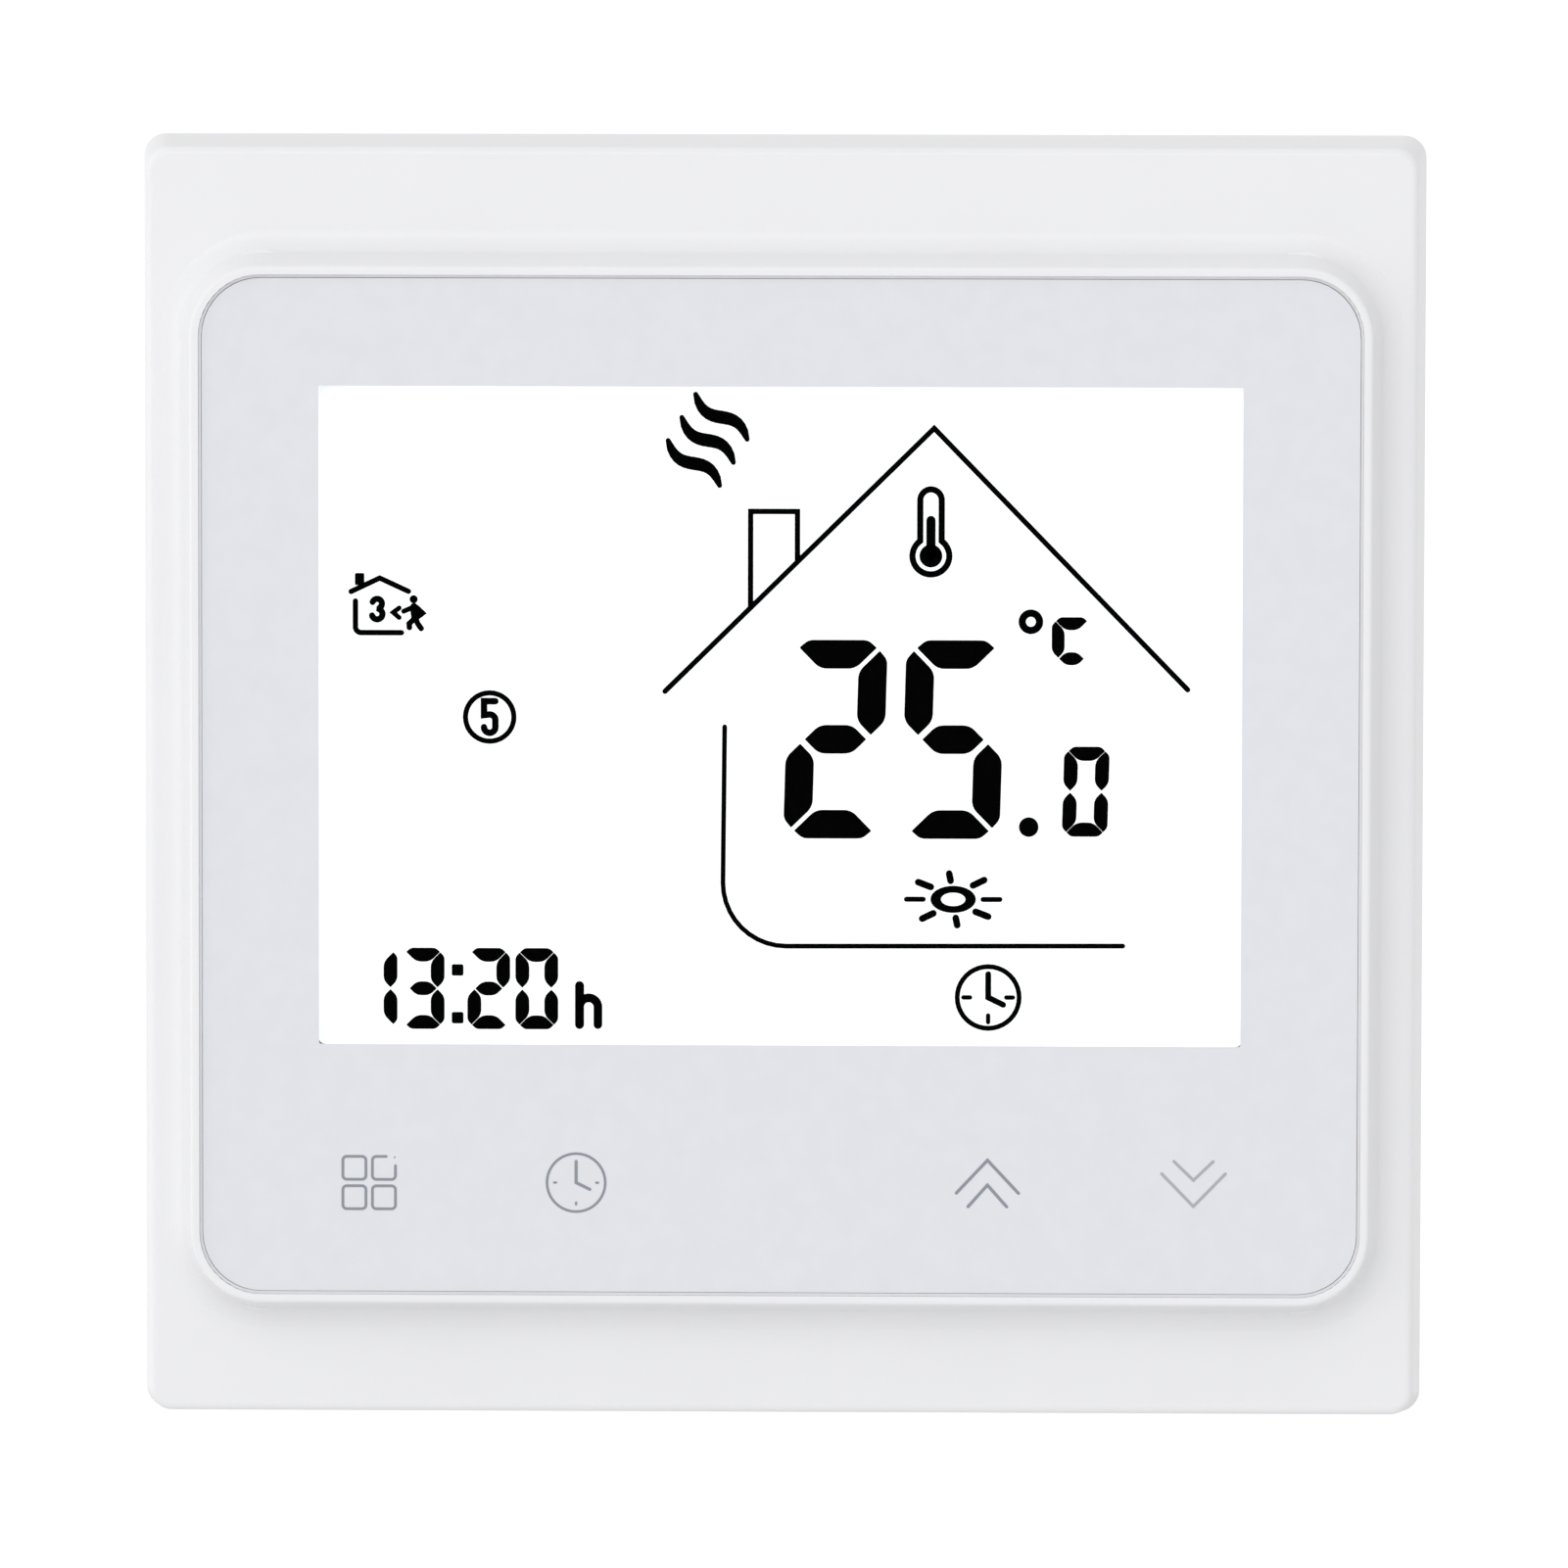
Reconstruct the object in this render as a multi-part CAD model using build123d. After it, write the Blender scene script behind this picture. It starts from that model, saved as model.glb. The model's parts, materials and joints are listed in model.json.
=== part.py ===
from build123d import *
import os

# Wall thermostat for a 60 mm wall box, in millimetres.
# X is to the right, Y points into the wall and Z is up. The origin is the centre of the fixing slots
# on the wall plane, which is the rear face of the steel mounting bracket.

# ================================================================ driving dimensions
# Clearances used throughout.
fit_gap = 0.1  # between pieces that drop in beside each other
running_gap = 0.05  # between a turning shaft and its hole
thread_gap = 0.02  # threads are plain cylinders that stop just short of each other

# Front cover: a drafted square plate with a raised bezel around the glass.
plate_size = 86.0  # square, at the wall
plate_draft = 0.85  # how far each side leans in over the plate's depth
plate_depth = 8.3  # wall to the plate's face
plate_corner_r = 1.5
plate_edge_r = 0.5
rim_gap = 0.2  # between the rim and the wall
cover_wall = 1.8
bezel_rise = 5.0
bezel_margin_x = 3.15  # plate's face edge to the bezel's front edge
bezel_margin_z = 7.8
bezel_lean = 1.0  # how far the bezel's sides spread over the rise
bezel_lip = 0.55  # width of the bezel's ring around the glass
bezel_corner_r = 4.65
bezel_edge_r = 0.25
bezel_cove_r = 1.5
ledge_wall = 1.6  # the floor that carries the glass
guide_rib = 1.2  # ribs that guide the bracket's ears
guide_pad_w = 10.0
vent_count = 5
vent_pitch = 3.0
vent_w = 1.2
vent_h = 3.2
vent_front = -6.0
release_x = 34.0  # two slots in the bottom rim for a screwdriver
release_w = 5.0
release_h = 1.0

# Touch glass and its gasket.
glass_gap = 0.2
glass_wall = 1.8
glass_recess = 0.3
glass_edge_r = 0.25
gasket_wall = 0.25
gasket_width = 1.6

# Display stack, from the glass back to the control board.
window_w = 61.0
window_h = 43.6
window_z = 4.66  # height of the window's centre
panel_border_x = 2.0  # panel edge beyond the lit window
panel_border_z = 3.2
panel_pane = 0.9
panel_step = 2.0  # how far the rear pane stands out at the bottom
film = 0.2
film_border = 0.7
guide_wall = 1.5
frame_border = 1.0  # tray edge beyond the panel's sides
frame_top_border = 0.8
frame_bottom_inset = 0.24  # leaves the panel's bottom edge free for its pins
frame_back = 0.6
lamp_xs = [-18.0, 0.0, 18.0]
lamp_w = 3.0
lamp_h = 1.2
lamp_depth = 1.4
lamp_gap = 0.15
display_pin_count = 19
display_pin_w = 0.4
display_pin_t = 0.5

# Touch keys, left to right under the window.
key_pitch = 13.6
key_z = -26.25
spring_r = 3.0
spring_wire_r = 0.25
spring_turns = 4
spring_hole_gap = 1.0
key_lamp_gap = 1.2
key_lamp_w = 0.8
key_lamp_l = 1.6
key_lamp_h = 0.6

# Control board and what it carries on its back.
board_edge_gap = 2.35  # board's side edge to the cover's inner side wall
board_end_gap = 4.35  # board's top or bottom edge to the cover's inner wall
board_wall = 1.2
board_corner_r = 2.0
board_screw_inset_x = 3.5
board_screw_inset_z = 2.8
boss_r = 2.2
rear_room = 2.5  # free depth between the control board and the rear box
chip_side = 10.0
chip_wall = 1.4
chip_at = (8.0, 14.0)
crystal_size = (3.2, 0.9, 1.6)
crystal_at = (-1.4, 12.8)
cell_r = 6.25
cell_rim = 0.4
cell_wall = 2.0
cell_step = 0.5
cell_at = (-10.0, 19.0)
sensor_x = 6.0
sensor_r = 1.0
sensor_lead = 0.3
sensor_spread = 1.0
sensor_drop = 1.1  # bead's centre inside the bracket's bottom edge

# Screws shared by both boards.
small_shank_r = 0.95
small_head_r = 1.8
small_head = 1.1
small_bite = 5.0
cross_share = 0.6  # size and depth of a cross recess, as a share of its head

# Mounting bracket and its fixing slots.
bracket_margin = 5.0  # plate's edge to the bracket's edge
bracket_wall = 1.2
bracket_corner_r = 2.0
bracket_gap = 0.3  # around the rear box
fixing_pitch = 60.0
slot_r = 2.1
slot_length = 6.2
ear_width = 14.0
ear_x = 22.0
ear_reach = 4.7  # how far the ears stand in front of the bracket
ear_gap = 0.15
stiffener_reach = 2.8
stiffener_length = 50.0

# Rear box, which fits inside a 60 mm round or square wall box.
box_side = 50.0
box_circle_r = 29.5
box_depth = 28.2  # behind the wall plane
box_wall = 1.6
box_flange = 1.2  # how far the flange reaches past the box
flange_circle_r = 34.0
flange_wall = 1.5
step_z = -12.8  # under this height the box is shallow
step_depth = 12.0
box_edge_r = 1.2
label_w = 30.0  # shallow recess for the rating label
label_h = 18.0
label_z = 6.0
label_recess = 0.25
lid_seat = 0.8
flange_screw_at = 22.4
flange_screw_r = 1.2
flange_head_r = 1.9
flange_head = 1.0

# Power board and its posts.
power_board_front = 1.0
power_board_wall = 1.6
power_board_gap = 0.3
post_x = 20.0
post_z = 14.5
post_r = 2.2
post_rib = 1.2
post_bore = 6.0

# Link between the two boards.
link_pins = 8
link_pitch = 2.54
link_z = -6.0
link_pin = 0.64
link_hole = 0.84
link_base = 1.2
link_base_w = 2.5
link_bite = 3.9  # how deep the pins sit in the socket
link_tip_room = 0.4

# Relay: sealed case with a coil, a magnet frame, a rocking armature and two contact blades.
relay_x = (-22.3, 6.5)
relay_z = (-10.2, 2.4)
relay_height = 15.7
relay_case_wall = 0.7
relay_case_edge_r = 0.5
relay_base_wall = 1.2
coil_x = -15.5
coil_r = 4.4
coil_flange = 0.8
coil_length = 9.2
core_r = 1.8
yoke_wall = 0.9
yoke_x = -9.8
yoke_w = 7.0
armature_wall = 0.8
armature_air = 0.5  # air gap over the core when the relay is off
armature_gap = 0.12  # between the armature and the yoke's rounded edge
armature_overhang = 1.8
blade_xs = (-3.0, 0.6)
blade_wall = 0.4
blade_w = 5.0
blade_height = 9.0
rivet_r = 1.4
rivet_wall = 1.2

# Transformer: two E-shaped core halves around a bobbin.
trafo_at = (14.8, -4.8)
core_half_w = 6.6
core_half_t = 3.0
core_leg = 1.4  # half the centre leg
core_outer_leg = 1.9
core_back_wall = 1.8
core_height = 11.0
core_stand = 1.0
bobbin_wall = 0.6
bobbin_flange = 0.8
bobbin_rail = 2.0
bobbin_overhang = 2.4
winding_corner_r = 1.2

# Other pieces on the power board: place, then size.
input_can = {"at": (-8.5, 8.6), "r": 4.0, "height": 12.0, "edge": 0.6}
output_can = {"at": (0.4, 7.6), "r": 3.15, "height": 11.0, "edge": 0.5}
fuse_can = {"at": (12.2, 17.4), "r": 4.1, "height": 8.0, "edge": 0.4}
choke_at = (12.6, 7.2)
choke_r = 4.0
choke_waist_r = 3.3
choke_height = 10.0
choke_flange = 1.4
film_cap_x = (-6.2, 6.2)
film_cap_z = (14.4, 20.4)
film_cap_height = 11.5
film_cap_edge_r = 0.4
varistor_at = (-12.4, 17.2)
varistor_r = 4.4
varistor_wall = 3.2
varistor_stand = 1.4
varistor_lead_r = 0.35
varistor_spread = 2.5
bridge_x = (-21.0, -16.4)
bridge_z = (4.0, 10.0)
bridge_height = 2.5

# Terminal block: screws face the wall, wires come in from below.
poles = 6
pole_pitch = 5.08
pole_z = -18.65
housing_end = 0.26
housing_low = -24.6
housing_high = -13.4
housing_height = 12.5
housing_gap = 0.2  # around the housing in the box's window
screw_r = 1.5
screw_head_r = 1.9
screw_head = 1.6
screw_slot = 0.6
screw_slot_depth = 0.8
head_gap = 0.03
well_r = 2.1
well_depth = 2.1
shoulder = 0.6  # the ledge that each screw's head bears on
clamp_w = 4.2
clamp_l = 5.5
clamp_inner_w = 3.0
clamp_top = 1.3
clamp_floor = 0.9
clamp_opening = 4.1
clamp_travel = 2.0
clamp_gap = 0.1
clamp_end_gap = 0.2
bar_w = 2.6
bar_wall = 0.8
bar_lead = 0.7  # how far the contact reaches past the clamp
leg_gap = 0.45
leg_tail = 0.6  # how far the contact stands through the power board
tip_gap = 0.05
entry_r = 1.7
entry_flare = 0.5

# ================================================================ levels along Y
front = -(plate_depth + bezel_rise)
glass_front = front + glass_recess
glass_back = glass_front + glass_wall
ledge_front = glass_back + gasket_wall
ledge_back = ledge_front + ledge_wall
plate_back = -plate_depth + cover_wall
panel_film_front = glass_back + fit_gap
panel_front = panel_film_front + film
panel_back = panel_front + 2 * panel_pane
guide_front = panel_back + 2 * film
guide_back = guide_front + guide_wall
tray_floor = guide_back + film
board_front = tray_floor + frame_back
board_back = board_front + board_wall
bracket_front = -bracket_wall
flange_front = bracket_front - flange_wall
box_floor = box_depth - box_wall
step_floor = step_depth - box_wall
power_back = power_board_front + power_board_wall
link_socket_front = board_back + link_base + fit_gap

relay_floor = power_back + relay_base_wall
coil_front = relay_floor + yoke_wall
coil_back = coil_front + coil_length
yoke_back = coil_back + yoke_wall / 2 + fit_gap
armature_front = yoke_back + armature_gap
core_front = power_back + core_stand
core_end = core_front + core_height

housing_back = power_back + housing_height
well_floor = housing_back - well_depth
clamp_room_back = well_floor - shoulder
clamp_back = clamp_room_back - clamp_gap - clamp_travel
opening_back = clamp_back - clamp_top
opening_front = opening_back - clamp_opening
clamp_front = opening_front - clamp_floor
bar_front = opening_front + clamp_travel + clamp_gap
bar_back = bar_front + bar_wall
screw_tip = bar_back + tip_gap

# ================================================================ outlines and places in the XZ plane
face_size = plate_size - 2 * plate_draft
bezel_w = face_size - 2 * bezel_margin_x
bezel_h = face_size - 2 * bezel_margin_z
pocket_w = bezel_w - 2 * bezel_lip
pocket_h = bezel_h - 2 * bezel_lip
pocket_corner_r = bezel_corner_r - bezel_lip
glass_w = pocket_w - 2 * glass_gap
glass_h = pocket_h - 2 * glass_gap
glass_corner_r = pocket_corner_r - glass_gap
cavity_w = pocket_w - 2 * fit_gap
cavity_h = pocket_h - 2 * fit_gap
inner_size = face_size - 2 * cover_wall
board_w = inner_size - 2 * board_edge_gap
board_h = inner_size - 2 * board_end_gap
panel_w = window_w + 2 * panel_border_x
panel_h = window_h + 2 * panel_border_z
panel_top = window_z + panel_h / 2
panel_bottom = window_z - panel_h / 2
guide_w = window_w + 2 * film_border
guide_h = window_h + 2 * film_border
guide_top = window_z + guide_h / 2
lamp_low = guide_top + 0.25
tray_low = panel_bottom + frame_bottom_inset
tray_high = panel_top + frame_top_border
bracket_size = plate_size - 2 * bracket_margin
bracket_edge = bracket_size / 2
housing_w = poles * pole_pitch + 2 * housing_end
leg_z = pole_z + clamp_l / 2 + leg_gap
bar_z = pole_z - clamp_l / 2 - bar_lead
relay_mid_z = sum(relay_z) / 2


def spread(count, pitch):
    """Evenly spaced values about zero."""
    return [(i - (count - 1) / 2) * pitch for i in range(count)]


def corners(x, z):
    """The four places at plus and minus x and z."""
    return [(i * x, j * z) for i in (-1, 1) for j in (-1, 1)]


key_xs = [-2 * key_pitch, -key_pitch, key_pitch, 2 * key_pitch]
board_screws = corners(board_w / 2 - board_screw_inset_x, board_h / 2 - board_screw_inset_z)
pin_places = [(x, link_z) for x in spread(link_pins, link_pitch)]
flange_screws = corners(flange_screw_at, flange_screw_at)
posts = corners(post_x, post_z)
pole_xs = spread(poles, pole_pitch)
half_pitch = fixing_pitch / 2
slot_places = [(-half_pitch, 0, 0), (half_pitch, 0, 0), (0, -half_pitch, 90), (0, half_pitch, 90)]


# ================================================================ helpers
def facing(y):
    """A plane parallel to the wall at depth y, with X to the right and Z up, that faces the room."""
    return Plane(origin=(0, y, 0), x_dir=(1, 0, 0), z_dir=(0, -1, 0))


def slab(outline, y0, y1):
    """An outline in the XZ plane, given depth from y0 (room side) to y1 (wall side)."""
    return extrude(facing(y1) * outline, y1 - y0)


def centred(w, h, x=0, z=0):
    """A rectangle in the XZ plane about a place."""
    return Pos(x, z) * Rectangle(w, h)


def block(x, y, z):
    """A box between two values along each axis, given in either order."""
    size = [abs(pair[1] - pair[0]) for pair in (x, y, z)]
    middle = [(pair[0] + pair[1]) / 2 for pair in (x, y, z)]
    return Pos(*middle) * Box(*size)


def about(middle, width):
    """The two ends of a width about a middle."""
    return (middle - width / 2, middle + width / 2)


def rod(r, place, y0, y1):
    """A cylinder along Y at an (x, z) place."""
    return slab(Pos(*place) * Circle(r), y0, y1)


def square_rod(width, place, y0, y1):
    """A square bar along Y at an (x, z) place."""
    return slab(centred(width, width, *place), y0, y1)


def frustum(w0, h0, r0, y0, w1, h1, r1, y1):
    """A drafted rounded rectangle between two depths."""
    return loft([facing(y0) * RectangleRounded(w0, h0, r0), facing(y1) * RectangleRounded(w1, h1, r1)])


def edges_at(solid, y, half_w, half_h):
    """The edges in the plane at depth y whose centres lie within a rectangle about the origin."""
    near = 0.05
    level = [edge for edge in solid.edges() if abs(edge.bounding_box().min.Y - y) < near / 5]
    level = [edge for edge in level if abs(edge.bounding_box().max.Y - y) < near / 5]
    return [e for e in level if abs(e.center().X) < half_w + near and abs(e.center().Z) < half_h + near]


def soften(solid, y, r):
    """Round all the edges of a solid in the plane at depth y."""
    return fillet(edges_at(solid, y, plate_size, plate_size), r)


def box_outline(side, r):
    """A square cut by a circle, which fits both square and round wall boxes."""
    return Rectangle(side, side) & Circle(r)


def pan_screw(place, head_y, seat_y, tip_y, head_r, shank_r):
    """A screw along Y with a cross recess in its head; the head lies between head_y and seat_y."""
    made = rod(head_r, place, *sorted((head_y, seat_y))) + rod(shank_r, place, *sorted((seat_y, tip_y)))
    reach = cross_share * head_r
    cross = Rectangle(2 * reach, reach / 2) + Rectangle(reach / 2, 2 * reach)
    recess_y = head_y + cross_share * (seat_y - head_y)
    return made - slab(Pos(*place) * cross, *sorted((head_y, recess_y)))


def group(shapes):
    """Several shapes as one compound of separate solids."""
    return Compound(children=[solid for shape in shapes for solid in shape.solids()])


# ================================================================ front half: cover and glass
def outer_shell():
    """The cover's outside: drafted plate, raised bezel with a cove at its foot, softened edges."""
    plate = frustum(
        plate_size, plate_size, plate_corner_r, 0, face_size, face_size, plate_corner_r, -plate_depth
    )
    plate -= slab(Rectangle(2 * plate_size, 2 * plate_size), -rim_gap, 1)
    foot_w = bezel_w + 2 * bezel_lean
    foot_h = bezel_h + 2 * bezel_lean
    foot_r = bezel_corner_r + bezel_lean
    bezel = frustum(foot_w, foot_h, foot_r, -plate_depth, bezel_w, bezel_h, bezel_corner_r, front)
    shell = plate + bezel
    shell = fillet(edges_at(shell, -plate_depth, foot_w / 2, foot_h / 2), bezel_cove_r)
    shell = soften(shell, front, bezel_edge_r)
    border = face_size / 2 - plate_corner_r
    rim = [
        edge
        for edge in edges_at(shell, -plate_depth, face_size, face_size)
        if max(abs(edge.center().X), abs(edge.center().Z)) > border
    ]
    return fillet(rim, plate_edge_r)


def ear_guides():
    """Pads and ribs inside the top and bottom walls that guide the bracket's ears."""
    y = (plate_back, bracket_front - bracket_gap)
    reach = inner_size / 2 + fit_gap
    pieces = []
    for x in (-ear_x, ear_x):
        for side in (-1, 1):
            pad_z = (side * (bracket_edge + ear_gap), side * reach)
            rib_z = (side * (bracket_edge - bracket_wall - ear_gap), side * reach)
            pieces.append(block(about(x, guide_pad_w), y, pad_z))
            for way in (-1, 1):
                inner = x + way * (ear_width / 2 + ear_gap)
                pieces.append(block((inner, inner + way * guide_rib), y, rib_z))
    return pieces


def front_cover():
    """The white shell: plate, bezel, glass seat, bosses, ear guides and slots in the rim."""
    cover = outer_shell()
    inner_r = plate_corner_r / 2
    wall_w = plate_size - 2 * cover_wall
    hollow = frustum(wall_w, wall_w, inner_r, 0, inner_size, inner_size, inner_r, -plate_depth)
    cover -= hollow & slab(Rectangle(plate_size, plate_size), plate_back, 0)
    cover -= slab(RectangleRounded(cavity_w, cavity_h, pocket_corner_r), ledge_back, plate_back)
    cover -= slab(RectangleRounded(pocket_w, pocket_h, pocket_corner_r), front, ledge_front)

    # window for the display and its pins, and holes through which the touch springs reach the glass
    low = panel_bottom - display_pin_t - lamp_gap
    high = panel_top + fit_gap
    cover -= slab(centred(panel_w + 2 * fit_gap, high - low, 0, (low + high) / 2), ledge_front, ledge_back)
    for x in key_xs:
        cover -= rod(spring_r + spring_hole_gap, (x, key_z), ledge_front, ledge_back)

    for place in board_screws:
        cover += rod(boss_r, place, ledge_back, board_front)
    for place in board_screws:
        cover -= rod(small_shank_r + thread_gap, place, ledge_back - ledge_wall / 2, board_front)
    for piece in ear_guides():
        cover += piece

    # vents for the room sensor and two release slots, all in the bottom rim
    for x in spread(vent_count, vent_pitch):
        y = (vent_front, vent_front + vent_h)
        cover -= block(about(sensor_x + x, vent_w), y, (-plate_size, -bracket_edge - cover_wall))
    for x in (-release_x, release_x):
        y = (-rim_gap - release_h, 0)
        cover -= block(about(x, release_w), y, (-plate_size, 1 - inner_size / 2))
    return cover


def touch_glass():
    """The glass, with its front edge softened."""
    glass = slab(RectangleRounded(glass_w, glass_h, glass_corner_r), glass_front, glass_back)
    return soften(glass, glass_front, glass_edge_r)


def glass_gasket():
    """The adhesive frame under the glass's border."""
    outer = RectangleRounded(glass_w, glass_h, glass_corner_r)
    inner_r = glass_corner_r - gasket_width
    inner = RectangleRounded(glass_w - 2 * gasket_width, glass_h - 2 * gasket_width, inner_r)
    return slab(outer - inner, glass_back, ledge_front)


# ================================================================ front half: display stack
def sheet(w, h, y0, y1):
    """A flat sheet of the display stack, centred on the window."""
    return slab(centred(w, h, 0, window_z), y0, y1)


def display_panel():
    """Two bonded panes; the rear one stands out at the bottom and carries the pins."""
    middle = panel_front + panel_pane
    pane = centred(panel_w, panel_h - panel_step, 0, window_z + panel_step / 2)
    return slab(pane, panel_front, middle) + sheet(panel_w, panel_h, middle, panel_back)


def backlight_frame():
    """The white tray that holds the light guide and lamps and carries the panel."""
    outer = centred(panel_w + 2 * frame_border, tray_high - tray_low, 0, (tray_low + tray_high) / 2)
    tray = slab(outer, panel_back, board_front)
    tray -= sheet(guide_w + 2 * fit_gap, guide_h + 2 * fit_gap, panel_back, tray_floor)
    for x in lamp_xs:
        room_z = (guide_top, lamp_low + lamp_h + lamp_gap)
        tray -= block(about(x, lamp_w + 2 * lamp_gap), (panel_back, tray_floor), room_z)
    return tray


def backlight_lamps():
    """Three side-view lamps that shine down into the guide's top edge."""
    y = (tray_floor - lamp_depth, tray_floor)
    return group([block(about(x, lamp_w), y, (lamp_low, lamp_low + lamp_h)) for x in lamp_xs])


def display_pins():
    """Pins along the panel's bottom edge, down to the control board."""
    y = (panel_front + panel_pane, board_front)
    z = (panel_bottom - display_pin_t, panel_bottom)
    return group([block(about(x, display_pin_w), y, z) for x in spread(display_pin_count, link_pitch)])


# ================================================================ front half: control board
def control_board():
    """The control board with its screw holes and link pin holes."""
    board = slab(RectangleRounded(board_w, board_h, board_corner_r), board_front, board_back)
    for place in board_screws:
        board -= rod(small_shank_r + fit_gap, place, board_front, board_back)
    for place in pin_places:
        board -= square_rod(link_pin, place, board_front, board_back)
    return board


def touch_spring(x):
    """One coil spring that joins the control board to the glass behind a key."""
    climb = board_front - glass_back - 2 * spring_wire_r
    path = Helix(climb / spring_turns, climb, spring_r - spring_wire_r)
    section = Plane(origin=path @ 0, z_dir=path % 0) * Circle(spring_wire_r)
    coil = sweep(section, path=path)
    return Pos(x, board_front - spring_wire_r, key_z) * Rot(90, 0, 0) * coil


def key_lamps():
    """A small lamp beside each touch spring, on the board's front."""
    y = (board_front - key_lamp_h, board_front)
    places = [x + spring_r + key_lamp_gap for x in key_xs]
    return group([block(about(x, key_lamp_w), y, about(key_z, key_lamp_l)) for x in places])


def microcontroller():
    """The flat square chip on the board's back."""
    return slab(centred(chip_side, chip_side, *chip_at), board_back, board_back + chip_wall)


def quartz_crystal():
    """The crystal's small metal can."""
    w, deep, h = crystal_size
    return slab(centred(w, h, *crystal_at), board_back, board_back + deep)


def backup_cell():
    """A coin cell that keeps the clock going."""
    rim = rod(cell_r, cell_at, board_back, board_back + cell_rim)
    return rim + rod(cell_r - cell_step, cell_at, board_back + cell_rim, board_back + cell_wall)


def temperature_sensor():
    """A thermistor bead on two bent leads, hung over the vents in the bottom rim."""
    bead_z = sensor_drop - bracket_edge
    lead_y = board_back + 2 * sensor_lead
    top_z = sensor_drop - board_h / 2 + sensor_lead
    bead = Pos(sensor_x, lead_y, bead_z) * Sphere(sensor_r)
    for x in spread(2, sensor_spread):
        width = about(sensor_x + x, sensor_lead)
        bead += block(width, about(lead_y, sensor_lead), (bead_z, top_z))
        bead += block(width, (board_back, lead_y + sensor_lead / 2), (top_z - sensor_lead, top_z))
    return bead


def link_header():
    """The header's plastic base on the back of the control board."""
    back = board_back + link_base
    base = slab(centred(link_pins * link_pitch, link_base_w, 0, link_z), board_back, back)
    for place in pin_places:
        base -= square_rod(link_pin, place, board_back, back)
    return base


def link_header_pins():
    """The header's square pins, from the board's front into the socket."""
    tip = link_socket_front + link_bite
    return group([square_rod(link_pin, place, board_front, tip) for place in pin_places])


def control_board_screws():
    """Four screws whose heads bear on the control board's back."""
    head, tip = board_back + small_head, ledge_back - ledge_wall / 4
    return group([pan_screw(p, head, board_back, tip, small_head_r, small_shank_r) for p in board_screws])


# ================================================================ rear half: bracket, box and lid
def mounting_bracket():
    """The steel plate with four fixing slots, bent ears for the front cover and stiffening edges."""
    bracket = slab(RectangleRounded(bracket_size, bracket_size, bracket_corner_r), bracket_front, 0)
    bracket -= slab(box_outline(box_side + 2 * bracket_gap, box_circle_r + bracket_gap), bracket_front, 0)
    for x, z, turn in slot_places:
        slot = Pos(x, z) * Rot(0, 0, turn) * SlotOverall(slot_length, 2 * slot_r)
        bracket -= slab(slot, bracket_front, 0)
    for place in flange_screws:
        bracket -= rod(flange_screw_r, place, bracket_front, 0)
    for side in (-1, 1):
        folded = (side * (bracket_edge - bracket_wall), side * bracket_edge)
        for x in (-ear_x, ear_x):
            bracket += block(about(x, ear_width), (bracket_front - ear_reach, bracket_front), folded)
        stiffener_y = (bracket_front - stiffener_reach, bracket_front)
        bracket += block(folded, stiffener_y, about(0, stiffener_length))
    return bracket


def stepped_body(inset, deep_back, shallow_back):
    """The stepped body of the rear box, drawn in from its outside by an inset."""
    whole = slab(box_outline(box_side - 2 * inset, box_circle_r - inset), bracket_front, deep_back)
    under = (-box_side, step_z + inset)
    return whole - block((-box_side, box_side), (shallow_back, box_depth + 1), under)


def rear_box():
    """The moulded box: stepped shell, flange, lid seat, label recess, posts and terminal window."""
    box = soften(stepped_body(0, box_depth, step_depth), box_depth, box_edge_r)
    box += slab(box_outline(box_side + 2 * box_flange, flange_circle_r), flange_front, bracket_front)
    box -= stepped_body(box_wall, box_floor, step_floor)
    seat = box_outline(lid_side + 2 * fit_gap, lid_r + fit_gap)
    box -= slab(seat, flange_front, bracket_front)
    box -= slab(centred(label_w, label_h, 0, label_z), box_depth - label_recess, box_depth)
    for place in flange_screws:
        box -= rod(flange_screw_r + running_gap, place, flange_front, bracket_front)

    # posts that carry the power board, each tied to the nearest side wall by a rib
    for x, z in posts:
        back = box_floor if z > 0 else step_floor
        box += rod(post_r, (x, z), power_back, back)
        wall_x = (box_side - box_wall) / 2 * (1 if x > 0 else -1)
        box += block((x, wall_x), (power_back, back), about(z, post_rib))
    for place in posts:
        box -= rod(small_shank_r + thread_gap, place, power_back, power_back + post_bore)

    # the terminal block shows through the bottom wall and the step's floor
    window_x = about(0, housing_w + 2 * housing_gap)
    box -= block(window_x, (power_back - fit_gap, step_depth), (-box_side, housing_high + housing_gap))
    return box


lid_side = box_side - 2 * box_wall + 2 * lid_seat - 2 * fit_gap
lid_r = box_circle_r - box_wall + lid_seat - fit_gap


def box_lid():
    """The inner safety lid, with a window for the link socket."""
    lid = slab(box_outline(lid_side, lid_r), flange_front, bracket_front)
    room = link_base
    window = centred(link_pins * link_pitch + room, link_base_w + room, 0, link_z)
    return lid - slab(window, flange_front, bracket_front)


def box_screws():
    """Four short screws that hold the flange to the bracket and end just short of the wall."""
    head = flange_front - flange_head
    shank_r = flange_screw_r - thread_gap
    return group([pan_screw(p, head, flange_front, -fit_gap, flange_head_r, shank_r) for p in flange_screws])


# ================================================================ rear half: power board
def power_board():
    """The power board, shaped like the inside of the box."""
    side = box_side - 2 * box_wall - 2 * power_board_gap
    outline = box_outline(side, box_circle_r - box_wall - power_board_gap)
    board = slab(outline, power_board_front, power_back)
    for place in posts:
        board -= rod(small_shank_r + fit_gap, place, power_board_front, power_back)
    for x in pole_xs:
        board -= block(about(x, bar_w), (power_board_front, power_back), (leg_z, leg_z + bar_wall))
    return board


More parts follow.
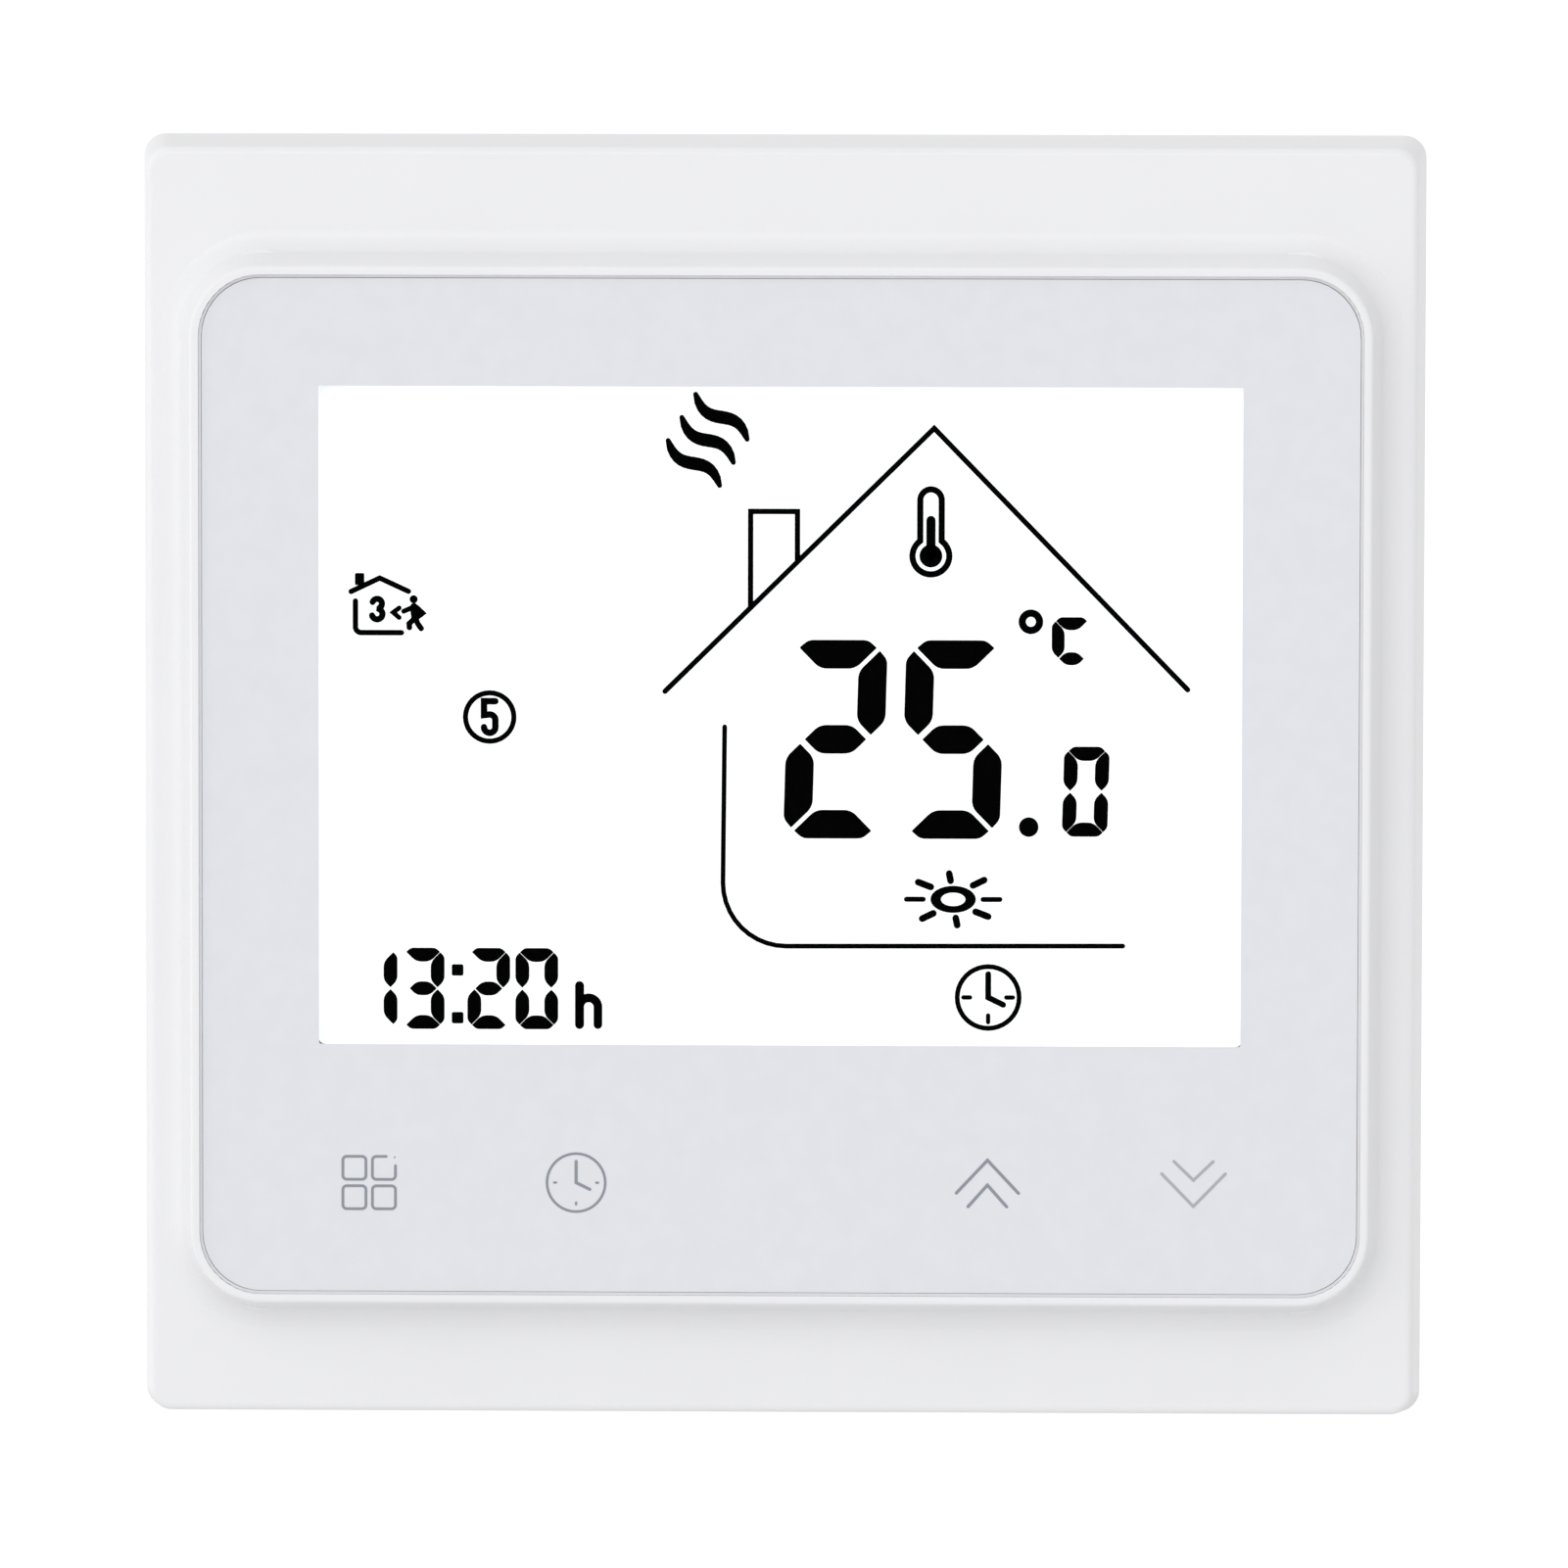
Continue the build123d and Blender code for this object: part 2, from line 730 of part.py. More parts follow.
def power_board_screws():
    """Four screws from the room side into the box's posts."""
    head, tip = power_board_front - small_head, power_back + small_bite
    return group([pan_screw(p, head, power_board_front, tip, small_head_r, small_shank_r) for p in posts])


def link_socket():
    """The socket that stands on the power board and meets the front half's pins."""
    body = centred(link_pins * link_pitch + 3 * fit_gap, link_base_w, 0, link_z)
    socket = slab(body, link_socket_front, power_board_front)
    hole_end = link_socket_front + link_bite + link_tip_room
    for place in pin_places:
        socket -= square_rod(link_hole, place, link_socket_front, hole_end)
    return socket


def standing_can(size):
    """A standing cylinder with a softened top."""
    back = power_back + size["height"]
    return soften(rod(size["r"], size["at"], power_back, back), back, size["edge"])


def choke():
    """A drum core with its winding in the waist."""
    back = power_back + choke_height
    drum = rod(choke_waist_r, choke_at, power_back, back)
    drum += rod(choke_r, choke_at, power_back, power_back + choke_flange)
    return drum + rod(choke_r, choke_at, back - choke_flange, back)


def x_capacitor():
    """A boxed film capacitor."""
    back = power_back + film_cap_height
    return soften(block(film_cap_x, (power_back, back), film_cap_z), back, film_cap_edge_r)


def varistor():
    """A dipped disc on two leads."""
    x, z = varistor_at
    middle = power_back + varistor_stand + varistor_r
    disc = Pos(x, middle, z) * Cylinder(varistor_r, varistor_wall)
    for way in (-1, 1):
        disc += rod(varistor_lead_r, (x + way * varistor_spread, z), power_back, middle)
    return disc


def bridge_rectifier():
    """The flat rectifier block."""
    return block(bridge_x, (power_back, power_back + bridge_height), bridge_z)


# ================================================================ rear half: relay
def inside(span, wall):
    """A span drawn in by a wall at each end."""
    return (span[0] + wall, span[1] - wall)


def relay_case():
    """The relay's cover, open towards the power board."""
    back = power_back + relay_height
    case = soften(block(relay_x, (power_back, back), relay_z), back, relay_case_edge_r)
    hollow_y = (power_back, back - relay_case_wall)
    return case - block(inside(relay_x, relay_case_wall), hollow_y, inside(relay_z, relay_case_wall))


def relay_base():
    """The relay's floor, which carries the magnet frame and the blades."""
    x, z = inside(relay_x, relay_case_wall), inside(relay_z, relay_case_wall)
    return block(x, (power_back, relay_floor), z)


def relay_coil():
    """The bobbin with its winding, as one ring around the core."""
    place = (coil_x, relay_mid_z)
    coil = rod(coil_r, place, coil_front, coil_back)
    for y in (coil_front, coil_back - coil_flange):
        coil += rod(coil_r + coil_flange / 2, place, y, y + coil_flange)
    return coil - rod(core_r + running_gap, place, coil_front, coil_back)


def relay_yoke():
    """The L-shaped magnet frame and core; its tall leg ends in a rounded edge for the armature."""
    z = about(relay_mid_z, yoke_w)
    leg_x = (yoke_x, yoke_x + yoke_wall)
    edge_y = yoke_back - yoke_wall / 2
    yoke = block((coil_x - core_r, yoke_x + yoke_wall), (relay_floor, coil_front), z)
    yoke += block(leg_x, (relay_floor, edge_y), z)
    yoke += Pos(sum(leg_x) / 2, edge_y, relay_mid_z) * Cylinder(yoke_wall / 2, yoke_w)
    return yoke + rod(core_r, (coil_x, relay_mid_z), relay_floor, armature_front - armature_air)


def relay_armature():
    """The plate that the coil pulls in; it rocks about the yoke's rounded edge."""
    x = (coil_x - core_r - armature_overhang, yoke_x + yoke_wall)
    y = (armature_front, armature_front + armature_wall)
    return block(x, y, about(relay_mid_z, yoke_w - 2 * fit_gap))


def relay_contacts():
    """Two blades with facing contact rivets, standing in the base."""
    blades = []
    for x, way in zip(blade_xs, (1, -1)):
        inner = x + way * blade_wall
        blade = block((x, inner), (relay_floor, relay_floor + blade_height), about(relay_mid_z, blade_w))
        rivet = Rot(0, 90, 0) * Cylinder(rivet_r, rivet_wall)
        rivet_y = relay_floor + blade_height - rivet_r - blade_wall
        blades.append(blade + Pos(inner + way * rivet_wall / 2, rivet_y, relay_mid_z) * rivet)
    return group(blades)


# ================================================================ rear half: transformer
def transformer_core():
    """Two E-shaped halves that meet in the middle."""
    x, z = trafo_at
    middle = (core_front + core_end) / 2
    depth = about(z, 2 * core_half_t)
    halves = []
    for outer_y, way in ((core_front, 1), (core_end, -1)):
        half = block(about(x, 2 * core_half_w), (outer_y, outer_y + way * core_back_wall), depth)
        half += block(about(x, 2 * core_leg), (outer_y, middle), depth)
        for side in (-1, 1):
            edge = x + side * core_half_w
            half += block((edge, edge - side * core_outer_leg), (outer_y, middle), depth)
        halves.append(half)
    return group(halves)


def transformer_bobbin():
    """A tube with two flanges around the centre leg, on two pin rails."""
    x, z = trafo_at
    low, high = core_front + core_back_wall, core_end - core_back_wall
    hole_x, hole_z = core_leg + fit_gap, core_half_t + fit_gap
    flange_x = core_half_w - core_outer_leg - 2 * fit_gap
    flange_z = core_half_t + bobbin_overhang
    bobbin = slab(centred(2 * (hole_x + bobbin_wall), 2 * (hole_z + bobbin_wall), x, z), low, high)
    for y in (low, high - bobbin_flange):
        bobbin += slab(centred(2 * flange_x, 2 * flange_z, x, z), y, y + bobbin_flange)
    for side in (-1, 1):
        inner = z + side * (core_half_t + 2 * fit_gap)
        rail_z = (inner, inner + side * bobbin_rail)
        bobbin += block(about(x, 2 * flange_x), (power_back, low + bobbin_flange / 2), rail_z)
    return bobbin - slab(centred(2 * hole_x, 2 * hole_z, x, z), power_back, high)


def transformer_winding():
    """The taped winding between the bobbin's flanges."""
    hole_x, hole_z = core_leg + fit_gap + bobbin_wall, core_half_t + fit_gap + bobbin_wall
    outer_x = core_half_w - core_outer_leg - 4 * fit_gap
    outer_z = core_half_t + bobbin_overhang - 3 * fit_gap
    ring = RectangleRounded(2 * outer_x, 2 * outer_z, winding_corner_r) - Rectangle(2 * hole_x, 2 * hole_z)
    low = core_front + core_back_wall + bobbin_flange
    return slab(Pos(*trafo_at) * ring, low, core_end - core_back_wall - bobbin_flange)


# ================================================================ rear half: terminal block
def terminal_housing():
    """Six chambers side by side, each with a screw well, a wire entry and a slot for its contact."""
    housing = block(about(0, housing_w), (power_back, housing_back), (housing_low, housing_high))
    room_z = about(pole_z, clamp_l + 2 * clamp_end_gap)
    entry_y = (opening_front + bar_front) / 2
    for x in pole_xs:
        place = (x, pole_z)
        room_y = (clamp_front - clamp_end_gap, clamp_room_back)
        housing -= block(about(x, clamp_w + 2 * clamp_gap), room_y, room_z)
        housing -= rod(screw_r + running_gap, place, clamp_room_back, well_floor)
        housing -= rod(well_r, place, well_floor - head_gap, housing_back)
        depth = room_z[0] - housing_low
        housing -= Pos(x, entry_y, housing_low + depth / 2) * Cylinder(entry_r, depth)
        flare = Cone(entry_r + entry_flare, entry_r, entry_flare)
        housing -= Pos(x, entry_y, housing_low + entry_flare / 2) * flare
        housing -= block(about(x, bar_w), (bar_front, bar_back), (bar_z, leg_z + bar_wall))
        housing -= block(about(x, bar_w), (power_back, bar_back), (leg_z, leg_z + bar_wall))
    return housing


def terminal_contacts():
    """Six bent strips: each passes through its clamp and drops to the power board."""
    strips = []
    for x in pole_xs:
        strip = block(about(x, bar_w), (bar_front, bar_back), (bar_z, leg_z + bar_wall))
        strip += block(about(x, bar_w), (power_board_front - leg_tail, bar_back), (leg_z, leg_z + bar_wall))
        strips.append(strip)
    return group(strips)


def terminal_screw(x):
    """A slotted screw that turns in its well and lifts its clamp."""
    top = well_floor + screw_head
    made = rod(screw_head_r, (x, pole_z), well_floor, top) + rod(screw_r, (x, pole_z), screw_tip, well_floor)
    slot_y = (top - screw_slot_depth, top)
    return made - block(about(x, 2 * screw_head_r), slot_y, about(pole_z, screw_slot))


def terminal_clamp(x):
    """A rising cage: the wire goes in under the contact, and the cage lifts it against the contact."""
    z = about(pole_z, clamp_l)
    cage = block(about(x, clamp_w), (clamp_front, clamp_back), z)
    cage -= block(about(x, clamp_inner_w), (opening_front, opening_back), z)
    return cage - rod(screw_r + running_gap, (x, pole_z), opening_back, clamp_back)


# ================================================================ the assembly
def assembly():
    """Every node's name and shape."""
    nodes = {
        "front_cover": front_cover(),
        "touch_glass": touch_glass(),
        "glass_gasket": glass_gasket(),
        "display_front_polariser": sheet(guide_w, guide_h, panel_film_front, panel_front),
        "display_panel": display_panel(),
        "display_rear_polariser": sheet(guide_w, guide_h, panel_back, panel_back + film),
        "diffuser_sheet": sheet(guide_w, guide_h, panel_back + film, guide_front),
        "light_guide": sheet(guide_w, guide_h, guide_front, guide_back),
        "reflector_sheet": sheet(guide_w, guide_h, guide_back, tray_floor),
        "backlight_frame": backlight_frame(),
        "backlight_leds": backlight_lamps(),
        "display_pins": display_pins(),
        "control_board": control_board(),
        "touch_springs": group([touch_spring(x) for x in key_xs]),
        "key_leds": key_lamps(),
        "microcontroller": microcontroller(),
        "quartz_crystal": quartz_crystal(),
        "backup_cell": backup_cell(),
        "temperature_sensor": temperature_sensor(),
        "link_header": link_header(),
        "link_header_pins": link_header_pins(),
        "control_board_screws": control_board_screws(),
        "mounting_bracket": mounting_bracket(),
        "rear_box": rear_box(),
        "box_lid": box_lid(),
        "box_screws": box_screws(),
        "power_board": power_board(),
        "power_board_screws": power_board_screws(),
        "link_socket": link_socket(),
        "relay_case": relay_case(),
        "relay_base": relay_base(),
        "relay_coil": relay_coil(),
        "relay_yoke": relay_yoke(),
        "relay_armature": relay_armature(),
        "relay_contacts": relay_contacts(),
        "transformer_core": transformer_core(),
        "transformer_bobbin": transformer_bobbin(),
        "transformer_winding": transformer_winding(),
        "input_capacitor": standing_can(input_can),
        "output_capacitor": standing_can(output_can),
        "fuse": standing_can(fuse_can),
        "choke": choke(),
        "x_capacitor": x_capacitor(),
        "varistor": varistor(),
        "bridge_rectifier": bridge_rectifier(),
        "terminal_housing": terminal_housing(),
        "terminal_contacts": terminal_contacts(),
    }
    for number, x in enumerate(pole_xs, start=1):
        nodes[f"terminal_screw_{number}"] = terminal_screw(x)
        nodes[f"terminal_clamp_{number}"] = terminal_clamp(x)
    return nodes


os.makedirs("parts", exist_ok=True)
for name, shape in assembly().items():
    export_step(shape, f"parts/{name}.step")
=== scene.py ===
import json
import math

import bmesh
import bpy
from mathutils import Matrix, Vector


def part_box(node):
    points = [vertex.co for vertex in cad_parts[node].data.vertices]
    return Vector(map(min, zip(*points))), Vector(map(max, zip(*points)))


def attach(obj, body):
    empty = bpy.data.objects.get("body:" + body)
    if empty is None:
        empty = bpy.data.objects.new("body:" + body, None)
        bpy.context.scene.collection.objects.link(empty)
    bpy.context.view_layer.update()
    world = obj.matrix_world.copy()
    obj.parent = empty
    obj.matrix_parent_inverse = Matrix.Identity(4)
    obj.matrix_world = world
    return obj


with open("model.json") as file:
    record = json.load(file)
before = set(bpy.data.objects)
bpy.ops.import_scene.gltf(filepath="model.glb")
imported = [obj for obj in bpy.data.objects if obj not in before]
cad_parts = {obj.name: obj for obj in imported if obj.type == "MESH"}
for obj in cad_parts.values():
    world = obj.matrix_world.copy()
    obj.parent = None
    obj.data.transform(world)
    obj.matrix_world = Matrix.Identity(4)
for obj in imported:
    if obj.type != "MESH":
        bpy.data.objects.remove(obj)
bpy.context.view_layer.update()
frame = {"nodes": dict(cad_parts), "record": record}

# Lengths are in millimetres up to the point where a mesh is made, which is in metres.
MM = 0.001
NONE = 1e-6  # shorter than this is taken as nothing
ARC_STEP = math.radians(9)  # the turn between two points of an arc
CAP_STEPS = 6  # straight sides in the round end of a stroke
SHORT_SIDE = 0.499  # the share of a side that one corner's arc may take up
SHARP_TURN = 0.35  # a line gets no wider at a turn than one over this
TAPER = 0.6  # how fast a tapering line reaches its full width
SHARP_ANGLE = math.radians(40)  # edges over this stay sharp when a piece is smoothed
BEVEL_ANGLE = math.radians(50)  # edges over this are bevelled


def box_mm(node):
    """A CAD node's lowest and highest corners, in millimetres."""
    low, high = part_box(node)
    return low / MM, high / MM


def middle_of(node):
    """The middle of a CAD node's box, in millimetres."""
    low, high = box_mm(node)
    return (low + high) / 2


# ==== outlines in the XZ plane
def arc(x, z, r, start, end, rz=None):
    """Points along an arc about (x, z), from one angle to another in degrees; rz makes it an ellipse's."""
    steps = max(2, round(abs(math.radians(end - start)) / ARC_STEP))
    turns = [math.radians(start + (end - start) * i / steps) for i in range(steps + 1)]
    return [(x + r * math.cos(a), z + (rz or r) * math.sin(a)) for a in turns]


def disc(x, z, r):
    """A round outline."""
    return arc(x, z, r, 0, 360)[:-1]


def rounded(points, radii):
    """A polygon with an arc at each corner; a corner's radius gives way where its sides are short."""
    out = []
    count = len(points)
    if not hasattr(radii, "__len__"):
        radii = [radii] * count
    for i, r in enumerate(radii):
        here, before, after = (Vector(points[k % count]) for k in (i, i - 1, i + 1))
        a, b = before - here, after - here
        turn = math.pi - a.angle(b)
        reach = r * math.tan(turn / 2)
        limit = SHORT_SIDE * min(a.length, b.length)
        if reach > limit:
            r, reach = r * limit / reach, limit
        if reach < NONE:
            out.append(tuple(here))
            continue
        start, end = here + a.normalized() * reach, here + b.normalized() * reach
        centre = here + (a.normalized() + b.normalized()).normalized() * math.hypot(r, reach)
        first, last = start - centre, end - centre
        sweep = math.atan2(first.x * last.y - first.y * last.x, first.dot(last))
        steps = max(2, round(abs(sweep) / ARC_STEP))
        angle = math.atan2(first.y, first.x)
        for k in range(steps + 1):
            at = angle + sweep * k / steps
            out.append((centre.x + r * math.cos(at), centre.y + r * math.sin(at)))
    return out


def rectangle(x, z, w, h, r=0.0):
    """A rectangle about (x, z) with rounded corners."""
    corners = [(x - w / 2, z - h / 2), (x + w / 2, z - h / 2), (x + w / 2, z + h / 2), (x - w / 2, z + h / 2)]
    return rounded(corners, r)


def bezier(p0, p1, p2, p3, steps=14):
    """Points along a cubic curve."""
    out = []
    for i in range(steps + 1):
        t = i / steps
        w = ((1 - t) ** 3, 3 * t * (1 - t) ** 2, 3 * t * t * (1 - t), t ** 3)
        out.append(tuple(sum(k * p[axis] for k, p in zip(w, (p0, p1, p2, p3))) for axis in (0, 1)))
    return out


def moved(points, x, z, scale=1.0):
    """Points scaled about the origin, then moved."""
    return [(x + px * scale, z + pz * scale) for px, pz in points]


def offsets(path, widths, closed):
    """The left and right sides of a line with a width at each point."""
    left, right = [], []
    last = len(path) - 1
    for i, (point, width) in enumerate(zip(path, widths)):
        here = Vector(point)
        before = Vector(path[i - 1]) if closed or i > 0 else None
        after = Vector(path[(i + 1) % len(path)]) if closed or i < last else None
        ways = [d.normalized() for d in (here - before if before else None, after - here if after else None) if d]
        mean = sum(ways, Vector((0, 0))).normalized()
        side = Vector((-mean.y, mean.x))
        stretch = 1 / max(SHARP_TURN, mean.dot(ways[0]))
        left.append(tuple(here + side * width / 2 * stretch))
        right.append(tuple(here - side * width / 2 * stretch))
    return left, right


def stroke(path, width, end_width=None):
    """The outline of a line with round ends; end_width makes it taper towards both ends."""
    last = len(path) - 1
    bulge = [math.sin(math.pi * i / last) ** TAPER for i in range(last + 1)]
    ends = width if end_width is None else end_width
    widths = [ends + (width - ends) * b for b in bulge]
    left, right = offsets(path, widths, False)
    caps = []
    for tip, inner in ((path[-1], path[-2]), (path[0], path[1])):
        heading = math.degrees(math.atan2(tip[1] - inner[1], tip[0] - inner[0]))
        turn = [math.radians(heading + 90 - 180 * k / CAP_STEPS) for k in range(1, CAP_STEPS)]
        caps.append([(tip[0] + ends / 2 * math.cos(a), tip[1] + ends / 2 * math.sin(a)) for a in turn])
    return left + caps[0] + right[::-1] + caps[1]


# ==== meshes
class Build:
    """Collects prisms and turned shapes into one mesh."""

    def __init__(self, depth=None, place=None):
        self.mesh = bmesh.new()
        self.depth = depth  # where its shapes start and end along Y, unless they say otherwise
        self.place = place or Matrix.Identity(4)
        self.slot = 0

    def points(self, loop, y):
        """Corners of an outline at a depth."""
        return [self.mesh.verts.new(self.place @ Vector((x, y, z)) * MM) for x, z in loop]

    def face(self, corners):
        """A face in the current material."""
        face = self.mesh.faces.new(corners)
        face.material_index = self.slot
        return face

    def sides(self, one, two):
        """The faces between two outlines."""
        count = len(one)
        return [self.face([one[i], one[(i + 1) % count], two[(i + 1) % count], two[i]]) for i in range(count)]

    def prism(self, loop, depth=None):
        """A closed outline given depth."""
        front, back = (self.points(loop, y) for y in depth or self.depth)
        self.face(front)
        self.face(back[::-1])
        self.sides(front, back)

    def frame(self, outer, inner):
        """The band between two outlines that have the same number of points."""
        y0, y1 = self.depth
        loops = [self.points(loop, y) for loop, y in ((outer, y0), (inner, y0), (inner, y1), (outer, y1))]
        for i in range(4):
            self.sides(loops[i], loops[(i + 1) % 4])

    def ring(self, x, z, r_outer, r_inner):
        """A flat ring."""
        self.frame(disc(x, z, r_outer), disc(x, z, r_inner))

    def line(self, path, width, end_width=None):
        """A stroke with round ends."""
        self.prism(stroke(path, width, end_width))

    def loop_line(self, path, width):
        """A closed line."""
        self.frame(*offsets(path, [width] * len(path), True))

    def turned(self, profile, x, z, steps=20):
        """A shape turned about an axis along Y at (x, z); the profile is a list of (radius, y)."""
        rings = []
        for r, y in profile:
            if r < NONE:
                rings.append(self.points([(x, z)], y))
            else:
                turn = [math.tau * k / steps for k in range(steps)]
                rings.append(self.points([(x + r * math.cos(a), z + r * math.sin(a)) for a in turn], y))
        for one, two in zip(rings, rings[1:]):
            for k in range(steps):
                corners = [one[k % len(one)], one[(k + 1) % len(one)], two[(k + 1) % len(two)], two[k % len(two)]]
                unique = list(dict.fromkeys(corners))
                if len(unique) > 2:
                    self.face(unique)
        for ends in (rings[0], rings[-1]):
            if len(ends) > 2:
                self.face(ends)

    def block(self, x, y, z, bevel=0.0):
        """A box between two values along each axis, with its upright edges softened."""
        cx, cz = sum(x) / 2, sum(z) / 2
        self.prism(rectangle(cx, cz, abs(x[1] - x[0]), abs(z[1] - z[0]), bevel), y)


def piece(name, build, materials, body="front_panel", smooth=False, bevel=0.0):
    """Turns what was built into an object that rides on a body."""
    bmesh.ops.recalc_face_normals(build.mesh, faces=build.mesh.faces)
    data = bpy.data.meshes.new(name)
    build.mesh.to_mesh(data)
    build.mesh.free()
    for material in materials if isinstance(materials, (list, tuple)) else [materials]:
        data.materials.append(material)
    if smooth:
        data.shade_smooth()
        data.set_sharp_from_angle(angle=SHARP_ANGLE)
    made = bpy.data.objects.new(name, data)
    bpy.context.scene.collection.objects.link(made)
    if bevel:
        edge = made.modifiers.new("edge", "BEVEL")
        edge.width = bevel * MM
        edge.segments = 2
        edge.limit_method = "ANGLE"
        edge.angle_limit = BEVEL_ANGLE
    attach(made, body)
    return made


# ==== materials
class Nodes:
    """A material and short ways to add nodes to it."""

    def __init__(self, name):
        self.material = bpy.data.materials.new(name)
        self.material.use_nodes = True
        self.tree = self.material.node_tree
        self.shader = self.tree.nodes["Principled BSDF"]
        self.output = self.tree.nodes["Material Output"]

    def add(self, kind, **values):
        """A new node; each value goes to the input of that name, or else to the node itself."""
        node = self.tree.nodes.new(kind)
        for key, value in values.items():
            socket = key.replace("_", " ")
            if socket in node.inputs:
                node.inputs[socket].default_value = value
            else:
                setattr(node, key, value)
        return node

    def join(self, start, end):
        """A link from an output to an input."""
        self.tree.links.new(start, end)

    def set(self, **values):
        """Uniform values on the shader's own inputs."""
        for key, value in values.items():
            self.shader.inputs[key.replace("_", " ")].default_value = value

    def coordinates(self, stretch=(1, 1, 1)):
        """Places on the object in metres, stretched along each axis."""
        place = self.add("ShaderNodeTexCoord")
        mapping = self.add("ShaderNodeMapping", Scale=stretch)
        self.join(place.outputs["Object"], mapping.inputs["Vector"])
        return mapping.outputs["Vector"]

    def noise(self, size, detail=3.0, stretch=(1, 1, 1)):
        """A noise whose blotches are about size millimetres across."""
        noise = self.add("ShaderNodeTexNoise", Scale=1 / (size * MM), Detail=detail)
        self.join(self.coordinates(stretch), noise.inputs["Vector"])
        return noise.outputs["Fac"]

    def cells(self, size, output="Distance"):
        """A cell pattern whose cells are about size millimetres across."""
        cells = self.add("ShaderNodeTexVoronoi", Scale=1 / (size * MM))
        self.join(self.coordinates(), cells.inputs["Vector"])
        return cells.outputs[output]

    def bands(self, pitch, direction="Y", distortion=0.0):
        """Bands across one axis, a pitch in millimetres apart."""
        scale = math.pi / (10 * pitch * MM)
        wave = self.add("ShaderNodeTexWave", bands_direction=direction, Scale=scale, Distortion=distortion)
        self.join(self.coordinates(), wave.inputs["Vector"])
        return wave.outputs["Fac"]

    def ramp(self, factor, dark, light, start=0.3, end=0.7):
        """Two colours mixed by a factor."""
        ramp = self.add("ShaderNodeValToRGB")
        for element, colour, place in zip(ramp.color_ramp.elements, (dark, light), (start, end)):
            element.color, element.position = (*colour, 1), place
        self.join(factor, ramp.inputs["Fac"])
        return ramp.outputs["Color"]

    def spread(self, factor, low, high):
        """A factor mapped to lie between two values."""
        spread = self.add("ShaderNodeMapRange", To_Min=low, To_Max=high)
        self.join(factor, spread.inputs["Value"])
        return spread.outputs["Result"]

    def bump(self, height, depth, strength=1.0, before=None):
        """Relief whose depth is in millimetres."""
        bump = self.add("ShaderNodeBump", Strength=strength, Distance=depth * MM)
        self.join(height, bump.inputs["Height"])
        if before:
            self.join(before, bump.inputs["Normal"])
        return bump.outputs["Normal"]

    def finish(self, colour=None, roughness=None, normal=None):
        """Links what was made to the shader, and gives the material."""
        for name, value in (("Base Color", colour), ("Roughness", roughness), ("Normal", normal)):
            if value is not None:
                self.join(value, self.shader.inputs[name])
        return self.material


def shade(colour, amount):
    """A colour made lighter or darker."""
    return tuple(min(1.0, max(0.0, c * (1 + amount))) for c in colour)


def moulded(name, colour, roughness=0.45, grain=0.35, relief=0.004, variety=0.02, blotch=9.0, coat=0.0):
    """Moulded plastic: a fine satin texture, and faint flow marks in its colour."""
    n = Nodes(name)
    base = n.ramp(n.noise(blotch, 2), shade(colour, -variety), shade(colour, variety))
    rough = n.spread(n.noise(grain * 3, 4), roughness - 0.05, roughness + 0.05)
    fine = n.bump(n.noise(grain, 5), relief)
    n.set(Specular_IOR_Level=0.45, Coat_Weight=coat, Coat_Roughness=0.15)
    return n.finish(base, rough, n.bump(n.noise(blotch * 2, 1), 0.02, 0.3, fine))


def metal(name, colour, roughness=0.3, streak=(1, 1, 1), grain=0.4, relief=0.002, variety=0.12):
    """Metal with fine streaks; streak stretches the pattern along each axis."""
    n = Nodes(name)
    grainy = n.noise(grain, 5, streak)
    base = n.ramp(grainy, shade(colour, -variety), shade(colour, variety / 2), 0.25, 0.8)
    rough = n.spread(n.noise(grain * 4, 4, streak), roughness - 0.08, roughness + 0.1)
    n.set(Metallic=1.0)
    return n.finish(base, rough, n.bump(grainy, relief))


def galvanised(name):
    """Zinc-coated sheet with its crystal spangle and faint rolling streaks."""
    n = Nodes(name)
    spangle = n.cells(2.6, "Color")
    grey = n.add("ShaderNodeRGBToBW")
    n.join(spangle, grey.inputs["Color"])
    base = n.ramp(grey.outputs["Val"], (0.52, 0.535, 0.55), (0.68, 0.69, 0.7), 0.1, 0.9)
    rough = n.spread(n.noise(1.2, 5), 0.26, 0.46)
    streaks = n.bump(n.noise(0.5, 4, (0.15, 1, 1)), 0.004)
    n.set(Metallic=1.0)
    return n.finish(base, rough, n.bump(n.cells(2.6), 0.01, 0.4, streaks))


def circuit_board(name, colour):
    """Solder mask over a woven laminate, whose weave shows faintly through."""
    n = Nodes(name)
    weave = n.add("ShaderNodeTexBrick", Scale=1 / (3.2 * MM), offset=0.5, Mortar_Size=0.03)
    for part, amount in (("Color1", 0.08), ("Color2", -0.06), ("Mortar", -0.3)):
        weave.inputs[part].default_value = (*shade(colour, amount), 1)
    swap = n.add("ShaderNodeMapping", Rotation=(math.pi / 2, 0, 0))
    n.join(n.coordinates(), swap.inputs["Vector"])
    n.join(swap.outputs["Vector"], weave.inputs["Vector"])
    rough = n.spread(n.noise(0.8, 4), 0.22, 0.38)
    n.set(Coat_Weight=0.4, Coat_Roughness=0.12)
    return n.finish(weave.outputs["Color"], rough, n.bump(n.noise(0.3, 3), 0.003))


